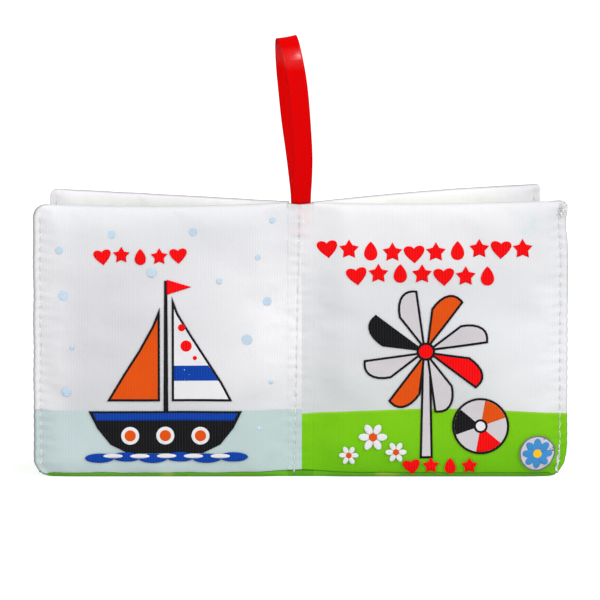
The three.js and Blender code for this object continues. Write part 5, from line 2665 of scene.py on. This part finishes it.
class Book:
    """The whole book: four leaves, the spine seam, the ribbon and what the leaves hold."""

    def __init__(self, nodes: dict[str, Object], materials: Materials) -> None:
        """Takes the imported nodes, by name, and the materials."""
        self.nodes = nodes
        self.materials = materials
        self.leaves = self.make_leaves()

    @staticmethod
    def make_leaves() -> dict[str, Leaf]:
        """The four leaves, by name."""
        cover = {
            "hinge_x": COVER_HINGE_X,
            "hinge_y": COVER_HINGE_Y,
            "front_rise": OPEN_FACE_RISE,
            "back_rise": FACING_FACE_RISE,
            "foot_rolls": True,
        }
        inner = {
            "height": INNER_LEAF_HEIGHT,
            "hinge_x": INNER_HINGE_X,
            "hinge_y": INNER_HINGE_Y,
            "front_rise": FACING_FACE_RISE,
            "back_rise": OPEN_FACE_RISE,
        }
        back_cover = LeafForm(
            "back_cover", "back_cover", Hand.LEFT, BACK_COVER_HEIGHT, tops=(1.2, -0.3, 0.8), seed=1.0,
            top_corner=6.2, foot_corner=8.5, edge_shade=0.7, **cover,
        )
        front_cover = LeafForm(
            "front_cover", "front_cover", Hand.RIGHT, FRONT_COVER_HEIGHT, tops=(-1.3, -1.6, 0.0), seed=2.0,
            top_corner=4.0, drawn_below_top=1.0, drawn_at_foot=2.0, crumple=1.0, **cover,
        )
        inner_left = LeafForm(
            "inner_left", "inner_left", Hand.LEFT, angle=INNER_LEFT_ANGLE, tops=(0.8, 0.6, 0.2), seed=3.0,
            top_corner=4.0, foot_corner=6.0, **inner,
        )
        inner_right = LeafForm(
            "inner_right", "inner_right", Hand.RIGHT, angle=INNER_RIGHT_ANGLE, tops=(0.6, 1.4, 0.4), seed=4.0,
            top_corner=2.2, foot_corner=6.0, **inner,
        )
        panels = (
            (back_cover, Ground.COVER, "back_cover_cloth", "back_cover_cloth", "page_7_cloth"),
            (front_cover, Ground.COVER, "front_cover_cloth", "cover_cloth", "page_2_cloth"),
            (inner_left, Ground.ICY, "page_6_cloth", "icy_page_cloth", "page_5_cloth"),
            (inner_right, Ground.ICY, "page_3_cloth", "icy_page_cloth", "page_4_cloth"),
        )
        leaves = {}
        for form, ground, node, slot, back_node in panels:
            front = ClothPanel(form, Side.FRONT, ground, node, slot)
            back = ClothPanel(form, Side.BACK, Ground.GREEN, back_node, "green_page_cloth")
            leaves[form.name] = Leaf(form, front, back)
        return leaves

    def settle(self) -> None:
        """Lets each leaf's cloth settle over its padding."""
        for name, leaf in self.leaves.items():
            leaf.form.relief = PaddingSimulation(leaf.form).run()
            log.info("%s: the cloth has settled over the padding", name)

    def build_leaves(self) -> None:
        """Makes the leaves and their pictures."""
        for name, leaf in self.leaves.items():
            for piece in leaf.build(self.materials):
                log.info("%s: made %s", name, piece.name)
            hole = RATTLE_PLACE if name == "inner_right" else None
            log.info("%s: made %s", name, FoamSheet(leaf.form, hole).build(self.materials).name)
        whipping = WhippedCorner(self.leaves["front_cover"].form)
        log.info("made %s", whipping.build(self.materials).name)
        for page in Pictures(self.leaves).all_pages():
            log.info("printed %s", page.build(self.materials).name)

    def build_spine(self) -> None:
        """Makes the plies of the spine seam and its stitching."""
        plies = (
            ("cover", COVER_PLY_Y, Ground.COVER, "cover_cloth", Side.FRONT),
            ("page_2_7", PAGE_2_7_PLY_Y, Ground.GREEN, "green_page_cloth", Side.BACK),
            ("page_3_6", PAGE_3_6_PLY_Y, Ground.ICY, "icy_page_cloth", Side.FRONT),
            ("page_4_5", PAGE_4_5_PLY_Y, Ground.GREEN, "green_page_cloth", Side.BACK),
        )
        covers = {Hand.LEFT: "back_cover", Hand.RIGHT: "front_cover"}
        for panel, y, ground, slot, side in plies:
            is_of_cover = y in (COVER_PLY_Y, PAGE_2_7_PLY_Y)
            for hand in Hand:
                word = hand.name.lower()
                form = self.leaves[covers[hand] if is_of_cover else f"inner_{word}"].form
                node = f"{panel}_panel_at_spine"
                ply = SpinePly(f"{panel}_ply_{word}", hand, form, node, y, ground, slot, side)
                log.info("made %s", ply.build(self.materials).name)
        rows = (
            ("spine_top_thread", COVER_PLY_Y, Side.FRONT),
            ("spine_bobbin_thread", PAGE_4_5_PLY_Y, Side.BACK),
        )
        for node, y, side in rows:
            row = Stitching(
                node=node,
                body="spine",
                start=SPINE_STITCH_END,
                end=SPINE_HEIGHT - SPINE_STITCH_END,
                surface=self.spine_surface(y, side),
                seed=5,
            )
            log.info("made %s", row.build(self.materials).name)

    @staticmethod
    def spine_surface(ply_y: float, side: Side) -> Callable[[float], tuple[Vector, Vector]]:
        """Gives the cloth's outside along the spine's stitching.

        Args:
            ply_y: how far behind the cover panel's middle the outer ply lies.
            side: the side it looks to.

        Returns:
            A function from a height to a point and the way out, for Stitching.
        """
        out = Vector((0, side.value, 0))

        def at(z: float) -> tuple[Vector, Vector]:
            """The point and the way out at a height."""
            y = ply_y + side.value * (CLOTH / 2 - SPINE_GROOVE)
            return Vector((spine_seam_x(z), y, z)) * MM, out

        return at

    def dress_nodes(self) -> None:
        """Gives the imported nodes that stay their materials."""
        finishes = {
            "rattle_capsule": self.materials.capsule,
            "rattle_bead": self.materials.bead,
        }
        for name, node in self.nodes.items():
            for word, material in finishes.items():
                if word in name:
                    node.data.materials.clear()
                    node.data.materials.append(material)


class Studio:
    """The camera, the lights and the floor."""

    def build_camera(self) -> None:
        """Places the camera as the photograph was taken: a long lens, a little above the book."""
        camera = bpy.data.cameras.new("camera")
        camera.sensor_width = SENSOR_WIDTH
        camera.lens = SENSOR_WIDTH * CAMERA_DISTANCE * PIXELS_PER_MM / PICTURE_PIXELS
        camera.clip_end = 100.0
        eye = bpy.data.objects.new("camera", camera)
        tilt = math.radians(VIEW_ELEVATION)
        away = Vector((0, -math.cos(tilt), math.sin(tilt))) * CAMERA_DISTANCE
        eye.location = (Vector((PICTURE_CENTRE_X, 0, PICTURE_CENTRE_Z)) + away) * MM
        eye.rotation_euler = (math.pi / 2 - tilt, 0, 0)
        bpy.context.scene.collection.objects.link(eye)
        bpy.context.scene.camera = eye

    def build_lights(self) -> None:
        """Places a broad soft light at the right, weaker ones at the left and in front, and a surround."""
        self.sun("key_light", 1.68, 32, (1.1, -0.75, 1.0))
        self.sun("fill_light", 0.95, 32, (-1.05, -0.75, 0.6))
        self.sun("front_light", 0.3, 6, (0.04, -1.0, 0.22))
        world = bpy.data.worlds.new("white_surround")
        world.use_nodes = True
        surround = world.node_tree.nodes["Background"]
        surround.inputs["Color"].default_value = (1, 1, 1, 1)
        surround.inputs["Strength"].default_value = SURROUND_STRENGTH
        bpy.context.scene.world = world

    @staticmethod
    def sun(name: str, strength: float, softness: float, towards: tuple[float, float, float]) -> None:
        """Adds an even soft light.

        Args:
            name: its name.
            strength: how strong it is.
            softness: how broad it looks from the book, in degrees.
            towards: the way to it from the book.
        """
        light = bpy.data.lights.new(name, "SUN")
        light.energy = strength
        light.angle = math.radians(softness)
        lamp = bpy.data.objects.new(name, light)
        lamp.rotation_euler = Vector(towards).to_track_quat("Z", "Y").to_euler()
        bpy.context.scene.collection.objects.link(lamp)

    def build_floor(self, materials: Materials) -> None:
        """Lays the floor that the book stands on.

        Args:
            materials: the materials, the floor's among them.
        """
        bm = bmesh.new()
        bmesh.ops.create_grid(bm, x_segments=4, y_segments=4, size=12.0)
        bmesh.ops.translate(bm, verts=bm.verts, vec=(0, 0, -0.02 * MM))
        floor = new_piece("floor", bm, [materials.floor])


def main() -> None:
    """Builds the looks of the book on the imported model."""
    logging.basicConfig(level=logging.INFO, format="%(name)s: %(message)s")
    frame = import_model()
    bpy.context.scene.view_settings.view_transform = "Standard"
    studio = Studio()
    studio.build_camera()
    materials = Materials()
    ribbon = RibbonLoop()
    log.info("made %s", ribbon.build(materials).name)
    log.info("made %s", ribbon.build_sewn_ends(materials).name)
    book = Book(frame["nodes"], materials)
    book.settle()
    book.build_leaves()
    book.build_spine()
    book.dress_nodes()
    studio.build_lights()
    studio.build_floor(materials)


if __name__ == "__main__":
    main()
